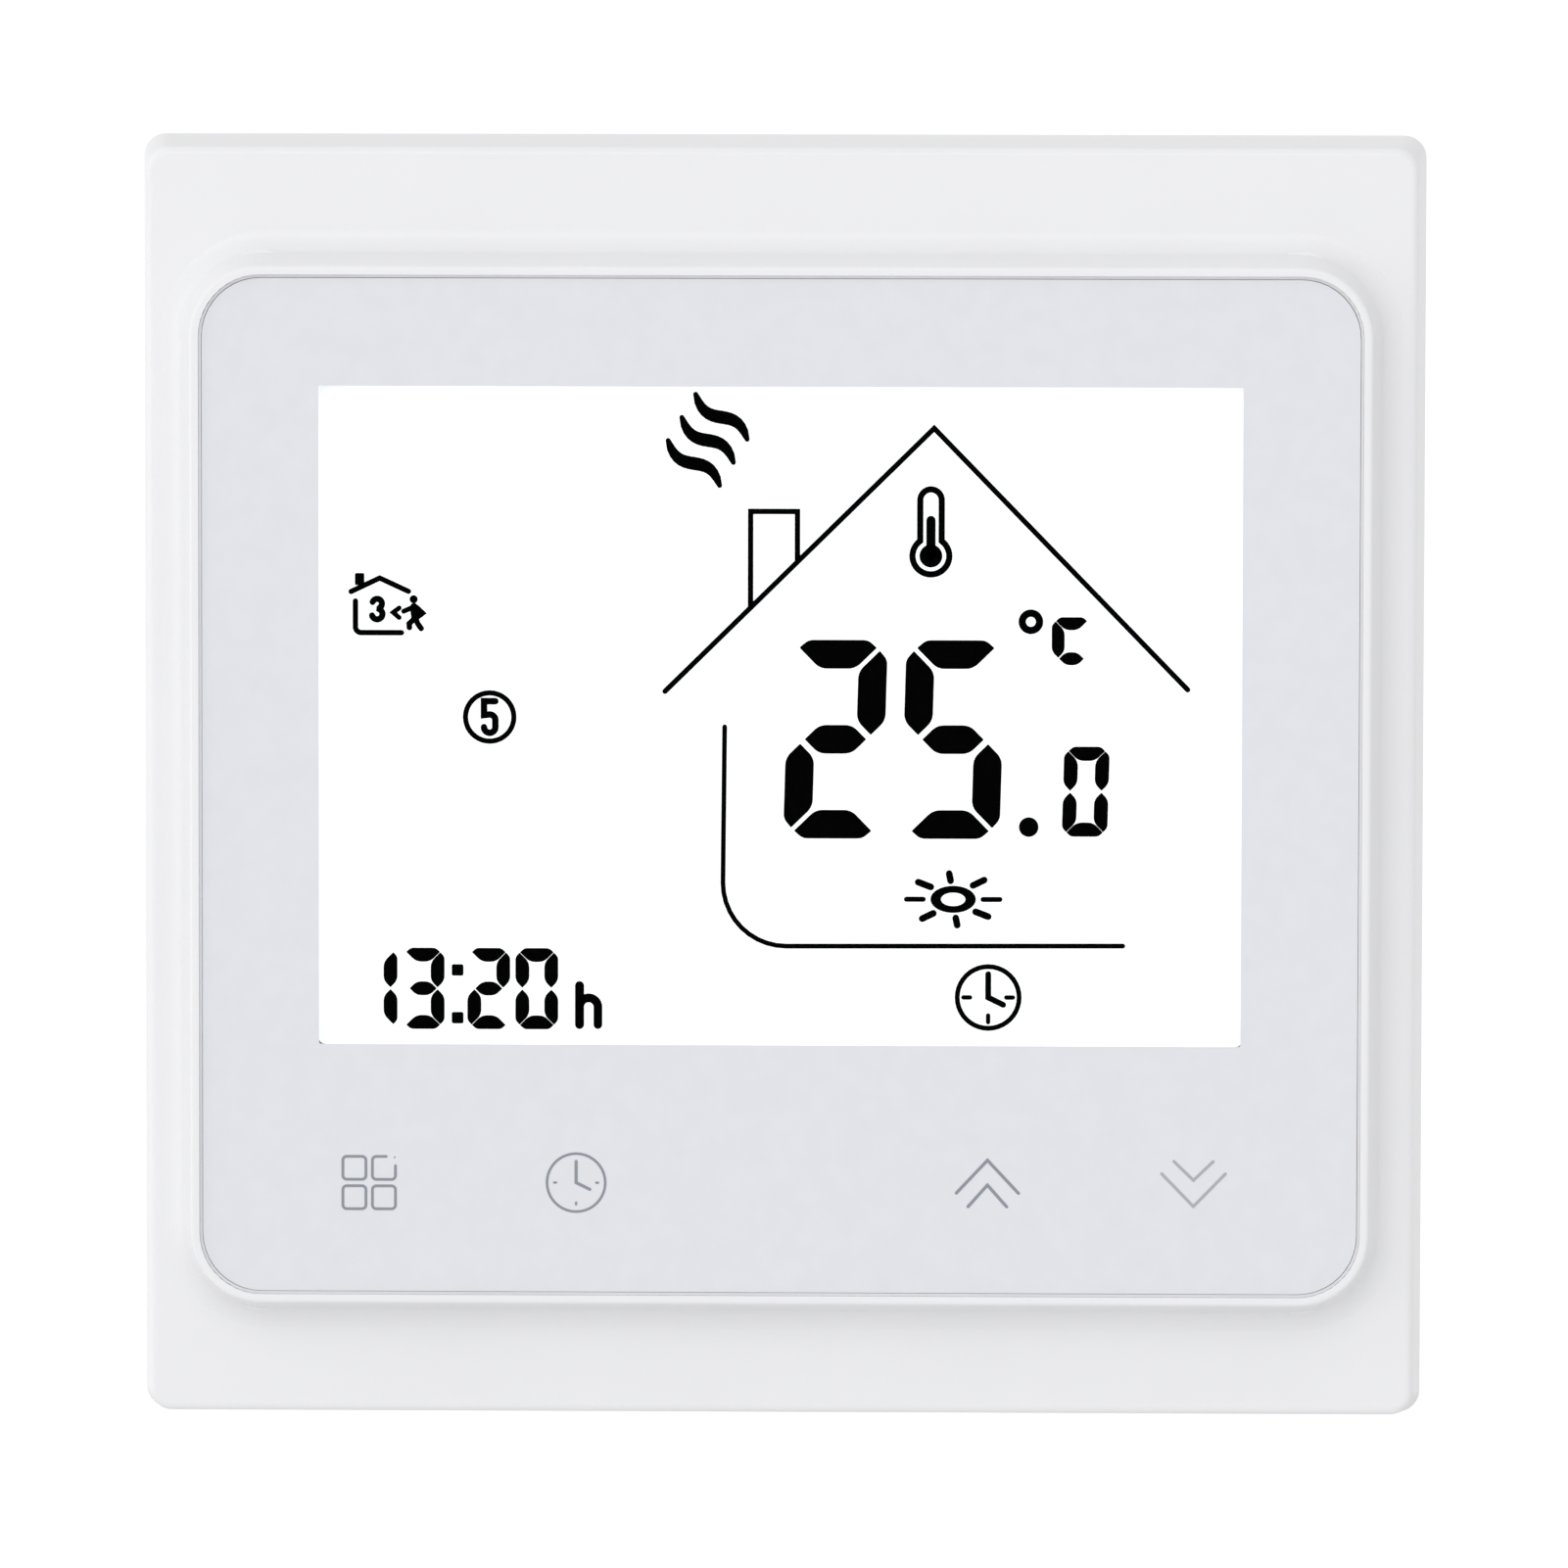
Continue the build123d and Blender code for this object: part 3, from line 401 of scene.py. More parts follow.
def cover_glass(name):
    """Coated glass that lets what is behind it show, and reflects only when seen at a slant."""
    n = Nodes(name)
    clear = n.add("ShaderNodeBsdfTransparent", Color=(0.985, 0.992, 0.995, 1))
    gloss = n.add("ShaderNodeBsdfGlossy", Roughness=0.03)
    n.join(n.bump(n.noise(6, 2), 0.002, 0.3), gloss.inputs["Normal"])
    slant = n.add("ShaderNodeLayerWeight")
    steep = n.add("ShaderNodeMath", operation="POWER")
    steep.inputs[1].default_value = 5
    n.join(slant.outputs["Facing"], steep.inputs[0])
    mix = n.add("ShaderNodeMixShader")
    n.join(n.spread(steep.outputs["Value"], 0.0, 0.9), mix.inputs["Fac"])
    n.join(clear.outputs["BSDF"], mix.inputs[1])
    n.join(gloss.outputs["BSDF"], mix.inputs[2])
    n.join(mix.outputs["Shader"], n.output.inputs["Surface"])
    return n.finish()


def lit_display(name):
    """The front film of the display, lit from behind."""
    n = Nodes(name)
    base = n.ramp(n.noise(4, 2), (0.56, 0.58, 0.6), (0.62, 0.64, 0.66))
    n.set(Emission_Strength=0.72, Emission_Color=(1, 1, 1, 1))
    return n.finish(base, n.spread(n.noise(0.5, 3), 0.3, 0.42), n.bump(n.noise(0.2, 3), 0.001))


def ink(name, colour, roughness=0.5, gloss=0.3):
    """A printed layer with the faint unevenness of screen printing."""
    n = Nodes(name)
    n.set(Specular_IOR_Level=gloss)
    base = n.ramp(n.noise(1.5, 3), shade(colour, -0.012), shade(colour, 0.012))
    return n.finish(base, n.spread(n.noise(0.4, 3), roughness - 0.04, roughness + 0.04))


def foam(name):
    """Closed-cell adhesive foam."""
    n = Nodes(name)
    cells = n.cells(0.18)
    base = n.ramp(cells, (0.02, 0.02, 0.022), (0.09, 0.09, 0.095), 0.1, 0.6)
    return n.finish(base, n.spread(cells, 0.7, 0.95), n.bump(cells, 0.05))


def clear_plastic(name, colour, roughness=0.08):
    """Clear plastic or film sheet."""
    n = Nodes(name)
    base = n.ramp(n.noise(5, 2), shade(colour, -0.02), shade(colour, 0.01))
    n.set(Transmission_Weight=0.6, IOR=1.49)
    return n.finish(base, n.spread(n.noise(0.6, 3), roughness, roughness + 0.06))


def wound(name, dark, light, pitch, direction="Y", metallic=0.0, roughness=0.3):
    """Turns of wire or tape across one axis."""
    n = Nodes(name)
    turns = n.bands(pitch, direction, 0.15)
    base = n.ramp(turns, dark, light, 0.15, 0.75)
    n.set(Metallic=metallic, Coat_Weight=0.5, Coat_Roughness=0.1)
    return n.finish(base, n.spread(n.noise(0.8, 3), roughness - 0.06, roughness + 0.08), n.bump(turns, 0.06, 0.8))


def speckled(name, dark, light, size=0.25, roughness=0.6, relief=0.01):
    """A sintered or dipped surface with fine speckles."""
    n = Nodes(name)
    spots = n.noise(size, 6)
    base = n.ramp(spots, dark, light, 0.35, 0.75)
    return n.finish(base, n.spread(n.noise(size * 4, 3), roughness - 0.1, roughness + 0.1), n.bump(spots, relief))


WHITE = (0.84, 0.84, 0.85)
SILVER = (0.74, 0.74, 0.72)
ALONG_X = (0.08, 1, 1)
ALONG_Y = (1, 0.08, 1)

finishes = {}


def look(name, maker, *values, **options):
    """Makes the finish of one material slot."""
    finishes[name] = maker(name, *values, **options)


look("white_shell", moulded, WHITE, roughness=0.36, grain=0.3, relief=0.0025, variety=0.006)
look("screen_glass", cover_glass)
look("gasket_foam", foam)
look("display_glass", clear_plastic, (0.85, 0.88, 0.88))
look("white_film", moulded, (0.88, 0.88, 0.89), roughness=0.3, grain=0.15, relief=0.001)
look("clear_acrylic", clear_plastic, (0.92, 0.95, 0.97), roughness=0.05)
look("white_frame", moulded, (0.84, 0.84, 0.83), roughness=0.5, relief=0.006)
look("led_ceramic", moulded, (0.85, 0.8, 0.5), roughness=0.25, grain=0.2)
look("control_solder_mask", circuit_board, (0.018, 0.14, 0.055))
look("power_solder_mask", circuit_board, (0.022, 0.125, 0.05))
look("tinned_metal", metal, SILVER, 0.28, ALONG_Y)
look("gold_plate", metal, (0.83, 0.6, 0.24), 0.22, ALONG_Y, variety=0.06)
look("spring_steel", metal, (0.7, 0.7, 0.71), 0.2, grain=0.2)
look("black_epoxy", speckled, (0.012, 0.012, 0.013), (0.03, 0.03, 0.032), 0.12, 0.5, 0.004)
look("metal_can", metal, (0.72, 0.72, 0.71), 0.22, ALONG_X)
look("cell_steel", metal, (0.74, 0.74, 0.73), 0.26, ALONG_X, grain=0.6)
look("sensor_glaze", moulded, (0.03, 0.03, 0.032), roughness=0.2, relief=0.004, coat=0.6)
look("black_nylon", moulded, (0.022, 0.022, 0.023), roughness=0.5, grain=0.2, relief=0.006)
look("zinc_screw", metal, SILVER, 0.27, grain=0.5)
look("galvanised_steel", galvanised)
look("grey_box", moulded, (0.7, 0.7, 0.7), roughness=0.55, grain=0.28, relief=0.012, variety=0.015)
look("lid_plastic", moulded, (0.76, 0.76, 0.755), roughness=0.5, grain=0.3, relief=0.01)
look("relay_cover", moulded, (0.02, 0.09, 0.28), roughness=0.22, relief=0.002, coat=0.3)
look("relay_moulding", moulded, (0.03, 0.03, 0.035), roughness=0.5)
look("copper_coil", wound, (0.12, 0.03, 0.01), (0.62, 0.24, 0.09), 0.16, metallic=0.7)
look("magnet_steel", metal, (0.5, 0.5, 0.49), 0.35, ALONG_Y)
look("contact_alloy", metal, (0.68, 0.45, 0.26), 0.28, ALONG_Y, variety=0.08)
look("ferrite", speckled, (0.02, 0.02, 0.021), (0.07, 0.07, 0.072), 0.2, 0.62, 0.012)
look("bobbin_plastic", moulded, (0.025, 0.025, 0.026), roughness=0.4)
look("winding_tape", wound, (0.55, 0.36, 0.02), (0.86, 0.62, 0.05), 2.4, roughness=0.2)
look("capacitor_sleeve", moulded, (0.02, 0.022, 0.035), roughness=0.24, relief=0.002, coat=0.5)
look("choke_ferrite", speckled, (0.015, 0.015, 0.016), (0.05, 0.05, 0.052), 0.2, 0.5, 0.01)
look("fuse_body", moulded, (0.16, 0.045, 0.02), roughness=0.4)
look("film_capacitor", moulded, (0.72, 0.5, 0.05), roughness=0.42, relief=0.005)
look("varistor_coat", speckled, (0.02, 0.1, 0.4), (0.04, 0.16, 0.52), 0.5, 0.4, 0.02)
look("terminal_plastic", moulded, (0.03, 0.24, 0.07), roughness=0.42, relief=0.006)
look("terminal_screw_steel", metal, (0.72, 0.7, 0.64), 0.27, grain=0.3)
look("clamp_steel", metal, (0.66, 0.63, 0.52), 0.32, ALONG_Y)

special = {
    "display_front_polariser": lit_display("display_lit"),
    "display_rear_polariser": clear_plastic("polariser_film", (0.45, 0.47, 0.48)),
}
slot_of = {s["node"]: s["material_slot"] for s in frame["record"]["subparts"]}
for node, shown in frame["nodes"].items():
    chosen = special.get(node) or finishes[slot_of[node]]
    shown.data.materials.clear()
    shown.data.materials.append(chosen)

lcd_black = ink("lcd_black", (0.0014, 0.0014, 0.0016), 0.6, 0.0)
border_ink = ink("border_ink", (0.755, 0.765, 0.8))
seal_white = moulded("seal_white", (0.8, 0.8, 0.82), roughness=0.5)
icon_ink = ink("icon_ink", (0.27, 0.29, 0.33))
faint_ink = ink("faint_ink", (0.42, 0.43, 0.45))

# ==== the display's layout
# Places here are measured from the middle of the lit window, X to the right and Z up.
FILM_BORDER = 0.7  # the display's films reach this far beyond the window on every side
film_low, film_high = box_mm("display_front_polariser")
glass_low, glass_high = box_mm("touch_glass")
window_x, window_z = middle_of("display_front_polariser").x, middle_of("display_front_polariser").z
window_w = film_high.x - film_low.x - 2 * FILM_BORDER
window_h = film_high.z - film_low.z - 2 * FILM_BORDER
LCD_GAP = 0.025  # between what is shown and the glass, and between it and the film behind
lcd_depth = (glass_high.y + LCD_GAP, film_low.y - LCD_GAP)


def segment_outlines(w, h, t, lit, gap, mid_gap, tip, bend):
    """Outlines of a segment digit's lit bars about its own centre; bend is how round the bars' corners are."""
    half_w, half_h = w / 2, h / 2
    rise = 0.31 * t  # how far the outer edge starts beside the tip
    soft, softer, sharp = 0.6 * t * bend, 0.45 * t * bend, 0.03 * t  # the corners' radii
    across = [
        (-half_w + tip + gap, half_h - tip),
        (-half_w + tip + gap + rise, half_h),
        (half_w - tip - gap - rise, half_h),
        (half_w - tip - gap, half_h - tip),
        (half_w - t - gap, half_h - t),
        (-half_w + t + gap, half_h - t),
    ]
    upright = [
        (half_w - tip, half_h - tip - gap),
        (half_w, half_h - tip - gap - rise),
        (half_w, mid_gap + t / 2),
        (half_w - t / 2, mid_gap),
        (half_w - t, mid_gap + t / 2),
        (half_w - t, half_h - t - gap),
    ]
    inner = half_w - t / 2 - mid_gap
    centre = [(-inner, 0), (t / 2 - inner, t / 2), (inner - t / 2, t / 2)]
    centre += [(inner, 0), (inner - t / 2, -t / 2), (t / 2 - inner, -t / 2)]
    turns = [sharp, softer, softer, sharp, soft, soft]
    uprights = [sharp, softer, soft, sharp, soft, soft]
    flat = {"a": (1, 1, across, turns), "d": (1, -1, across, turns)}
    tall = {"b": (1, 1), "c": (1, -1), "f": (-1, 1), "e": (-1, -1)}
    bars = {**flat, **{k: (*v, upright, uprights) for k, v in tall.items()}}
    bars["g"] = (1, 1, centre, [sharp, soft, soft, sharp, soft, soft])
    out = []
    for name in lit:
        sx, sz, points, radii = bars[name]
        out.append([(sx * x, sz * z) for x, z in rounded(points, radii)])
    return out


# The bars that are lit in each sign: a is at the top, then clockwise to f, and g lies across the middle.
LIT = {"0": "abcdef", "1": "bc", "2": "abged", "3": "abgcd", "5": "afgcd", "C": "afg"}


def digit(b, sign, x, z, w, h, t, slant=0.0, gap=0.02, mid_gap=0.06, tip=0.3, bend=1.6):
    """Adds one segment digit; tip is where the bars' points lie, as a share of the bar's width."""
    for outline in segment_outlines(w, h, t, LIT[sign], gap, mid_gap, tip * t, bend):
        b.prism([(x + px + slant * pz, z + pz) for px, pz in outline])


def temperature_reading(b):
    """The large reading with its small decimal, the point, and the degree sign."""
    for sign, x in (("2", 3.64), ("5", 11.43)):
        digit(b, sign, x, -1.59, 6.56, 13.18, 1.9, slant=0.028, gap=0.2, mid_gap=0.29, tip=0.27, bend=1.0)
    digit(b, "0", 20.23, -5.02, 3.02, 5.97, 0.94, slant=0.026)
    digit(b, "C", 19.25, 3.8, 2.62, 5.5, 0.86)
    point_r, degree_r, degree_hole_r = 0.65, 0.82, 0.33
    b.prism(disc(16.46, -7.38, point_r))
    b.ring(16.56, 6.24, degree_r, degree_hole_r)


def time_reading(b):
    """The clock reading along the bottom left, with a small h after it."""
    for sign, x in (("1", -26.77), ("3", -23.64), ("2", -19.28), ("0", -16.09)):
        digit(b, sign, x - 0.06, -18.24, 2.84, 5.4, 0.92, gap=0.025)
    for z in (-17.01, -20.19):
        b.prism(rectangle(-21.41, z, 0.78, 0.76, 0.12))
    stem, top, bend, foot, arch_r = -13.31, -18.02, -19.45, -20.62, 0.61
    b.line([(stem, top), (stem, foot)], 0.6)
    arch = arc(stem + arch_r, bend, arch_r, 180, 0) + [(stem + 2 * arch_r, foot)]
    b.line(arch, 0.58)


def house_drawing(b):
    """The house around the reading: roof, chimney, wall and heat waves."""
    roof_line, wall_line, wave_line, wave_tip = 0.36, 0.32, 0.88, 0.34
    eave_left, ridge, eave_right = (-7.66, 1.56), (10.13, 19.03), (26.95, 1.76)
    b.line([eave_left, ridge, eave_right], roof_line)
    slope = (ridge[1] - eave_left[1]) / (ridge[0] - eave_left[0])
    left, right, top = -2.0, 1.1, 13.5
    feet = [(x, eave_left[1] + slope * (x - eave_left[0])) for x in (left, right)]
    b.line([feet[0], (left, top), (right, top), feet[1]], roof_line)
    wall_x, floor_z, turn = -3.8, -15.35, 4.2
    wall = [(wall_x + 0.1, -0.78)] + arc(wall_x + turn, floor_z + turn, turn, 180, 270) + [(22.73, -15.27)]
    b.line(wall, wall_line)
    wave = bezier((0, 0), (0.75, -2.6), (2.65, -0.45), (3.41, -2.97))
    for i in range(3):
        path = moved(wave, -5.65 - 0.91 * i, 21.24 - 1.53 * i)
        b.line(path, wave_line, end_width=wave_tip)


def thermometer(b):
    """The thermometer sign under the ridge."""
    x, bulb_z, bulb_r, tube_r, line, top = 9.93, 10.58, 1.22, 0.71, 0.42, 14.28
    filled_r, filled_top, filled_w = 0.76, 12.94, 0.62
    meet = math.degrees(math.asin(tube_r / bulb_r))
    outline = arc(x, bulb_z, bulb_r, 90 + meet, 450 - meet) + arc(x, top, tube_r, 0, 180)
    b.loop_line(outline, line)
    b.prism(disc(x, bulb_z, filled_r))
    b.line([(x, bulb_z), (x, filled_top)], filled_w)


def sun(b):
    """The day sign: a flattened ring with eight rays."""
    x, z = 11.47, -12.2
    outer, inner = (arc(x, z, rx, 0, 360, rz)[:-1] for rx, rz in ((1.51, 0.9), (0.81, 0.45)))
    b.frame(outer, inner)
    ray_from, ray_to, ray_line, level_ray_line = (1.98, 1.24), (3.1, 1.72), 0.46, 0.34
    for k in range(8):
        angle = math.radians(45 * k)
        angle += math.radians(5) * abs(math.sin(angle))
        ends = [(x + rx * math.cos(angle), z + rz * math.sin(angle)) for rx, rz in (ray_from, ray_to)]
        b.line(ends, ray_line if k % 4 else level_ray_line)


def clock_face(b, x, z, r, line, tick):
    """A small clock that shows four o'clock; its ticks at three quarters lie between two shares of its radius."""
    b.ring(x, z, r, r - line)
    hands = [(x, z + 0.7 * r), (x, z), (x + 0.45 * r, z - 0.22 * r)]
    b.line(hands, line * 1.2)
    for angle in (0, 180, 270):
        spot = [math.cos(math.radians(angle)), math.sin(math.radians(angle))]
        ends = [(x + spot[0] * r * k, z + spot[1] * r * k) for k in tick]
        b.line(ends, line * 0.9)


def digit_three(x, z, size):
    """The line of a plain 3 of a given height."""
    r = size * 0.235
    upper = arc(x, z + size / 2 - r, r, 160, -60)
    lower = arc(x, z - size / 2 + r * 1.1, r * 1.1, 65, -165)
    return upper + lower


def digit_five(x, z, size):
    """The line of a plain 5 of a given height."""
    w, half = size * 0.36, size / 2
    bowl = arc(x, z - half + w / 2 + size * 0.22, w / 2, 90, 0) + arc(x, z - half + w / 2, w / 2, 0, -180)
    return [(x + w / 2, z + half), (x - w / 2, z + half), (x - w / 2, z + 0.06 * size)] + bowl


# The leave-home sign's lines and their widths: the roof, the walls, the 3, the arrow and the walker's limbs.
LEAVE_HOME = (
    ([(-28.47, 8.12), (-26.57, 9.02), (-24.66, 8.14)], 0.36),
    ([(-28.18, 7.5)] + arc(-27.8, 5.78, 0.38, 180, 270) + [(-25.12, 5.4)], 0.36),
    (digit_three(-26.74, 6.96, 1.36), 0.42),
    ([(-25.28, 7.04), (-25.68, 6.74), (-25.28, 6.4)], 0.33),
    ([(-24.3, 7.1), (-24.2, 6.35)], 0.54),
    ([(-24.35, 7.1), (-24.98, 6.82)], 0.34),
    ([(-24.15, 7.1), (-23.72, 6.7), (-23.98, 6.5)], 0.36),
    ([(-24.25, 6.35), (-24.62, 6.0), (-24.6, 5.74)], 0.38),
    ([(-24.2, 6.35), (-24.05, 6.0), (-23.82, 5.68)], 0.38),
)


def program_signs(b):
    """The period number, the leave-home sign and the small clock."""
    x, z = -19.28, -0.18
    b.ring(x, z, 1.78, 1.43)
    b.line(digit_five(x, z, 2.1), 0.44)
    for path, width in LEAVE_HOME:
        b.line(path, width)
    chimney, head = rectangle(-27.9, 8.95, 0.62, 0.8, 0.1), disc(-24.32, 7.62, 0.27)
    for outline in (chimney, head):
        b.prism(outline)
    clock_face(b, 13.81, -18.72, 2.22, 0.33, (0.54, 0.74))


drawings = {
    "temperature": temperature_reading,
    "time": time_reading,
    "house": house_drawing,
    "thermometer": thermometer,
    "sun": sun,
    "signs": program_signs,
}
for name, draw in drawings.items():
    shown = Build(lcd_depth, Matrix.Translation((window_x, 0, window_z)))
    draw(shown)
    piece(f"display_{name}", shown, lcd_black)


# ==== print on the glass
PRINT_GAP = 0.003  # keeps two faces from lying in one plane
PRINT_WALL = 0.012
print_depth = (glass_low.y - PRINT_GAP - PRINT_WALL, glass_low.y - PRINT_GAP)
icon_depth = (print_depth[0] - PRINT_GAP - PRINT_WALL, print_depth[0] - PRINT_GAP)
PRINT_INSET = 0.05  # the ink's outer edge, smaller than the glass by this in all
BACKING_REACH = 2.4  # how far the ink behind the glass runs out from the window
BACKING_CLEAR = 0.16  # and how far it stays back from the window's edge
WINDOW_CORNER_R, BACKING_CORNER_R = 0.12, 0.5
GLASS_CORNER_R = 3.9
GLASS_GAP = 0.2  # between the glass and the cover
SEAL_DEPTH = 0.06  # from the glass's front to the sealant
SEAL_CLEAR = 0.01  # keeps the sealant off the glass and the cover
glass_w, glass_h = glass_high.x - glass_low.x, glass_high.z - glass_low.z
glass_x, glass_z = (glass_high.x + glass_low.x) / 2, (glass_high.z + glass_low.z) / 2
spring_low, spring_high = box_mm("touch_springs")
key_z = (spring_low.z + spring_high.z) / 2
spring_r = (spring_high.z - spring_low.z) / 2
key_pitch = (spring_high.x - spring_r) / 2
KEYS = (-2, -1, 1, 2)  # the keys' places, in pitches from the middle
# The print lies a little to the right of the springs behind it.
MENU_X, CLOCK_X, UP_X, DOWN_X = 0.01 - 2 * key_pitch, 0.14 - key_pitch, 0.2 + key_pitch, 0.24 + 2 * key_pitch


def window_rectangle(margin, r):
    """The lit window's outline, larger by a margin on every side."""
    return rectangle(window_x, window_z, window_w + 2 * margin, window_h + 2 * margin, r)


def glass_rectangle(extra, r):
    """The glass's outline, larger across by an extra."""
    return rectangle(glass_x, glass_z, glass_w + extra, glass_h + extra, r)


def border_print():
    """The pale ink on the front of the glass, open at the window."""
    b = Build(print_depth)
    b.frame(glass_rectangle(-PRINT_INSET, GLASS_CORNER_R), window_rectangle(0, WINDOW_CORNER_R))
    piece("border_print", b, border_ink)


def border_backing():
    """A second pass of the ink behind the glass, which hides the display's edge from the side."""
    b = Build((glass_high.y + PRINT_GAP, glass_high.y + PRINT_GAP + PRINT_WALL))
    b.frame(*(window_rectangle(margin, BACKING_CORNER_R) for margin in (BACKING_REACH, BACKING_CLEAR)))
    piece("border_backing", b, border_ink)


def glass_seal():
    """A thin bead of white sealant in the gap around the glass."""
    b = Build((glass_low.y + SEAL_DEPTH, glass_high.y))
    outer = glass_rectangle(2 * GLASS_GAP - SEAL_CLEAR, GLASS_CORNER_R + GLASS_GAP)
    b.frame(outer, glass_rectangle(SEAL_CLEAR, GLASS_CORNER_R))
    piece("glass_seal", b, seal_white)


def menu_squares(b):
    """Four rounded squares; the upper right one is open at its corner, with a dot there."""
    side, step, line, r = 1.53, 1.96, 0.185, 0.26
    half, middle_z = side / 2, key_z - 0.11
    for i, j in ((-1, 1), (-1, -1), (1, -1)):
        square = rectangle(MENU_X + i * step / 2, middle_z + j * step / 2, side, side, r)
        b.loop_line(square, line)
    x, z = MENU_X + step / 2, middle_z + step / 2
    open_from, dot_inset, dot_r = 0.2 * half, 0.05, 0.06
    path = [(x + open_from, z + half)]
    for sx, sz, turn in ((-1, 1, 90), (-1, -1, 180), (1, -1, 270)):
        path += arc(x + sx * (half - r), z + sz * (half - r), r, turn, turn + 90)
    b.line(path + [(x + half, z + open_from)], line)
    b.prism(disc(x + half - dot_inset, z + half - dot_inset, dot_r))


def chevrons(b, x, rows, line):
    """Chevrons about x; each row has half the width, and the heights of the tips and the point over the key."""
    for half, tips, point in rows:
        b.line([(x - half, key_z + tips), (x, key_z + point), (x + half, key_z + tips)], line)


def touch_icons():
    """The menu squares, the clock and the upward chevrons."""
    b = Build(icon_depth)
    menu_squares(b)
    clock_face(b, CLOCK_X, key_z - 0.06, 2.02, 0.175, (0.66, 0.72))
    chevrons(b, UP_X, ((2.06, -0.66, 1.53), (1.28, -1.56, -0.12)), 0.21)
    piece("touch_icons", b, icon_ink)


def down_icon():
    """The downward chevrons, printed more faintly."""
    b = Build(icon_depth)
    chevrons(b, DOWN_X, ((1.3, 1.5, 0.25), (2.11, 0.68, -1.49)), 0.2)
    piece("touch_icon_down", b, faint_ink)


for make in (border_print, border_backing, glass_seal, touch_icons, down_icon):
    make()


# ==== the control board's back
board_low, board_high = box_mm("control_board")
board_y = board_high.y
mask_high = ink("mask_over_copper", (0.055, 0.3, 0.13), 0.28, 0.5)
board_white = ink("board_white", (0.78, 0.79, 0.78), 0.55)
solder = metal("solder", (0.76, 0.76, 0.75), 0.24, grain=0.25)
chip_ceramic = moulded("chip_ceramic", (0.3, 0.22, 0.15), roughness=0.4, grain=0.1, relief=0.002)
chip_at, chip_w = middle_of("microcontroller"), box_mm("microcontroller")[1].x - box_mm("microcontroller")[0].x
cell_at, cell_top = middle_of("backup_cell"), box_mm("backup_cell")[1].y
cell_r = (box_mm("backup_cell")[1].x - box_mm("backup_cell")[0].x) / 2
header_low, header_high = box_mm("link_header")
pins_low, pins_high = box_mm("display_pins")
LEG_PITCH, LEG_HALF_W = 0.8, 0.16
LEGLESS = 1.2  # the length of a side of the chip that its corners leave without legs
# A leg's shoulder, drop and foot: from the chip's side outwards, and from the board upwards.
LEG = (((-0.05, 0.4), (0.75, 0.88)), ((0.3, 0.42), (0.06, 0.8)), ((0.34, 0.95), (0.05, 0.17)))
LEG_PAD, LEG_PAD_HALF_W = (((0.3, 1.25), (0.002, 0.04)),), 0.2
PAD_CORNER_R = 0.05
JOINT = ((0.62, 0.004), (0.52, 0.1), (0.3, 0.34), (0.2, 0.62), (0.0, 0.66))  # radii and heights of the solder
PIN_COUNT, PIN_W = 19, 0.4
SPRING_JOINT_WIDER, SPRING_JOINT_LOWER = 1.7, 0.9
SENSOR_LEADS_X, SENSOR_LEADS_UP = (5.4, 6.6), 2.6
# A small part's length, width and height.
RESISTOR, CAPACITOR = (2.0, 1.25, 0.5), (1.6, 0.85, 0.8)
END_CAP, END_CAP_PROUD = 0.35, 0.04
COPPER = (0.002, 0.04)  # from the board's face
MARKS = (0.043, 0.053)
TRACK_W, FINE_TRACK_W, MARK_W = 0.24, 0.22, 0.18


def above_board(span):
    """Heights over the control board's back, as places along Y."""
    return tuple(board_y + up for up in span)


def by_the_legs(b, parts, half_w, corner_r=0.0):
    """Blocks beside the chip, in every leg's place on all four sides."""
    count = int((chip_w - LEGLESS) / LEG_PITCH) + 1
    for turn in range(4):
        b.place = Matrix.Translation((chip_at.x, 0, chip_at.z)) @ Matrix.Rotation(math.tau / 4 * turn, 4, "Y")
        for k in range(count):
            z = (k - (count - 1) / 2) * LEG_PITCH
            for out, up in parts:
                b.block([chip_w / 2 + far for far in out], above_board(up), (z - half_w, z + half_w), corner_r)
    b.place = Matrix.Identity(4)


def chip_legs():
    """The bent legs along the four sides of the microcontroller."""
    b = Build()
    by_the_legs(b, LEG, LEG_HALF_W)
    piece("chip_legs", b, solder)


def solder_joints():
    """Solder under the chip's legs and on every lead that comes through the board."""
    b = Build()
    by_the_legs(b, LEG_PAD, LEG_PAD_HALF_W, PAD_CORNER_R)
    joint = [(r, board_y + up) for r, up in JOINT]
    wide_joint = [(r * SPRING_JOINT_WIDER, board_y + up * SPRING_JOINT_LOWER) for r, up in JOINT]
    pin_step = (pins_high.x - pins_low.x - PIN_W) / (PIN_COUNT - 1)
    for k in range(PIN_COUNT):
        b.turned(joint, (k - (PIN_COUNT - 1) / 2) * pin_step, (pins_low.z + pins_high.z) / 2, 16)
    for k in KEYS:
        b.turned(wide_joint, k * key_pitch + spring_r, key_z, 20)
    for x in SENSOR_LEADS_X:
        b.turned(joint, x, board_low.z + SENSOR_LEADS_UP, 16)
    piece("solder_joints", b, solder, smooth=True)


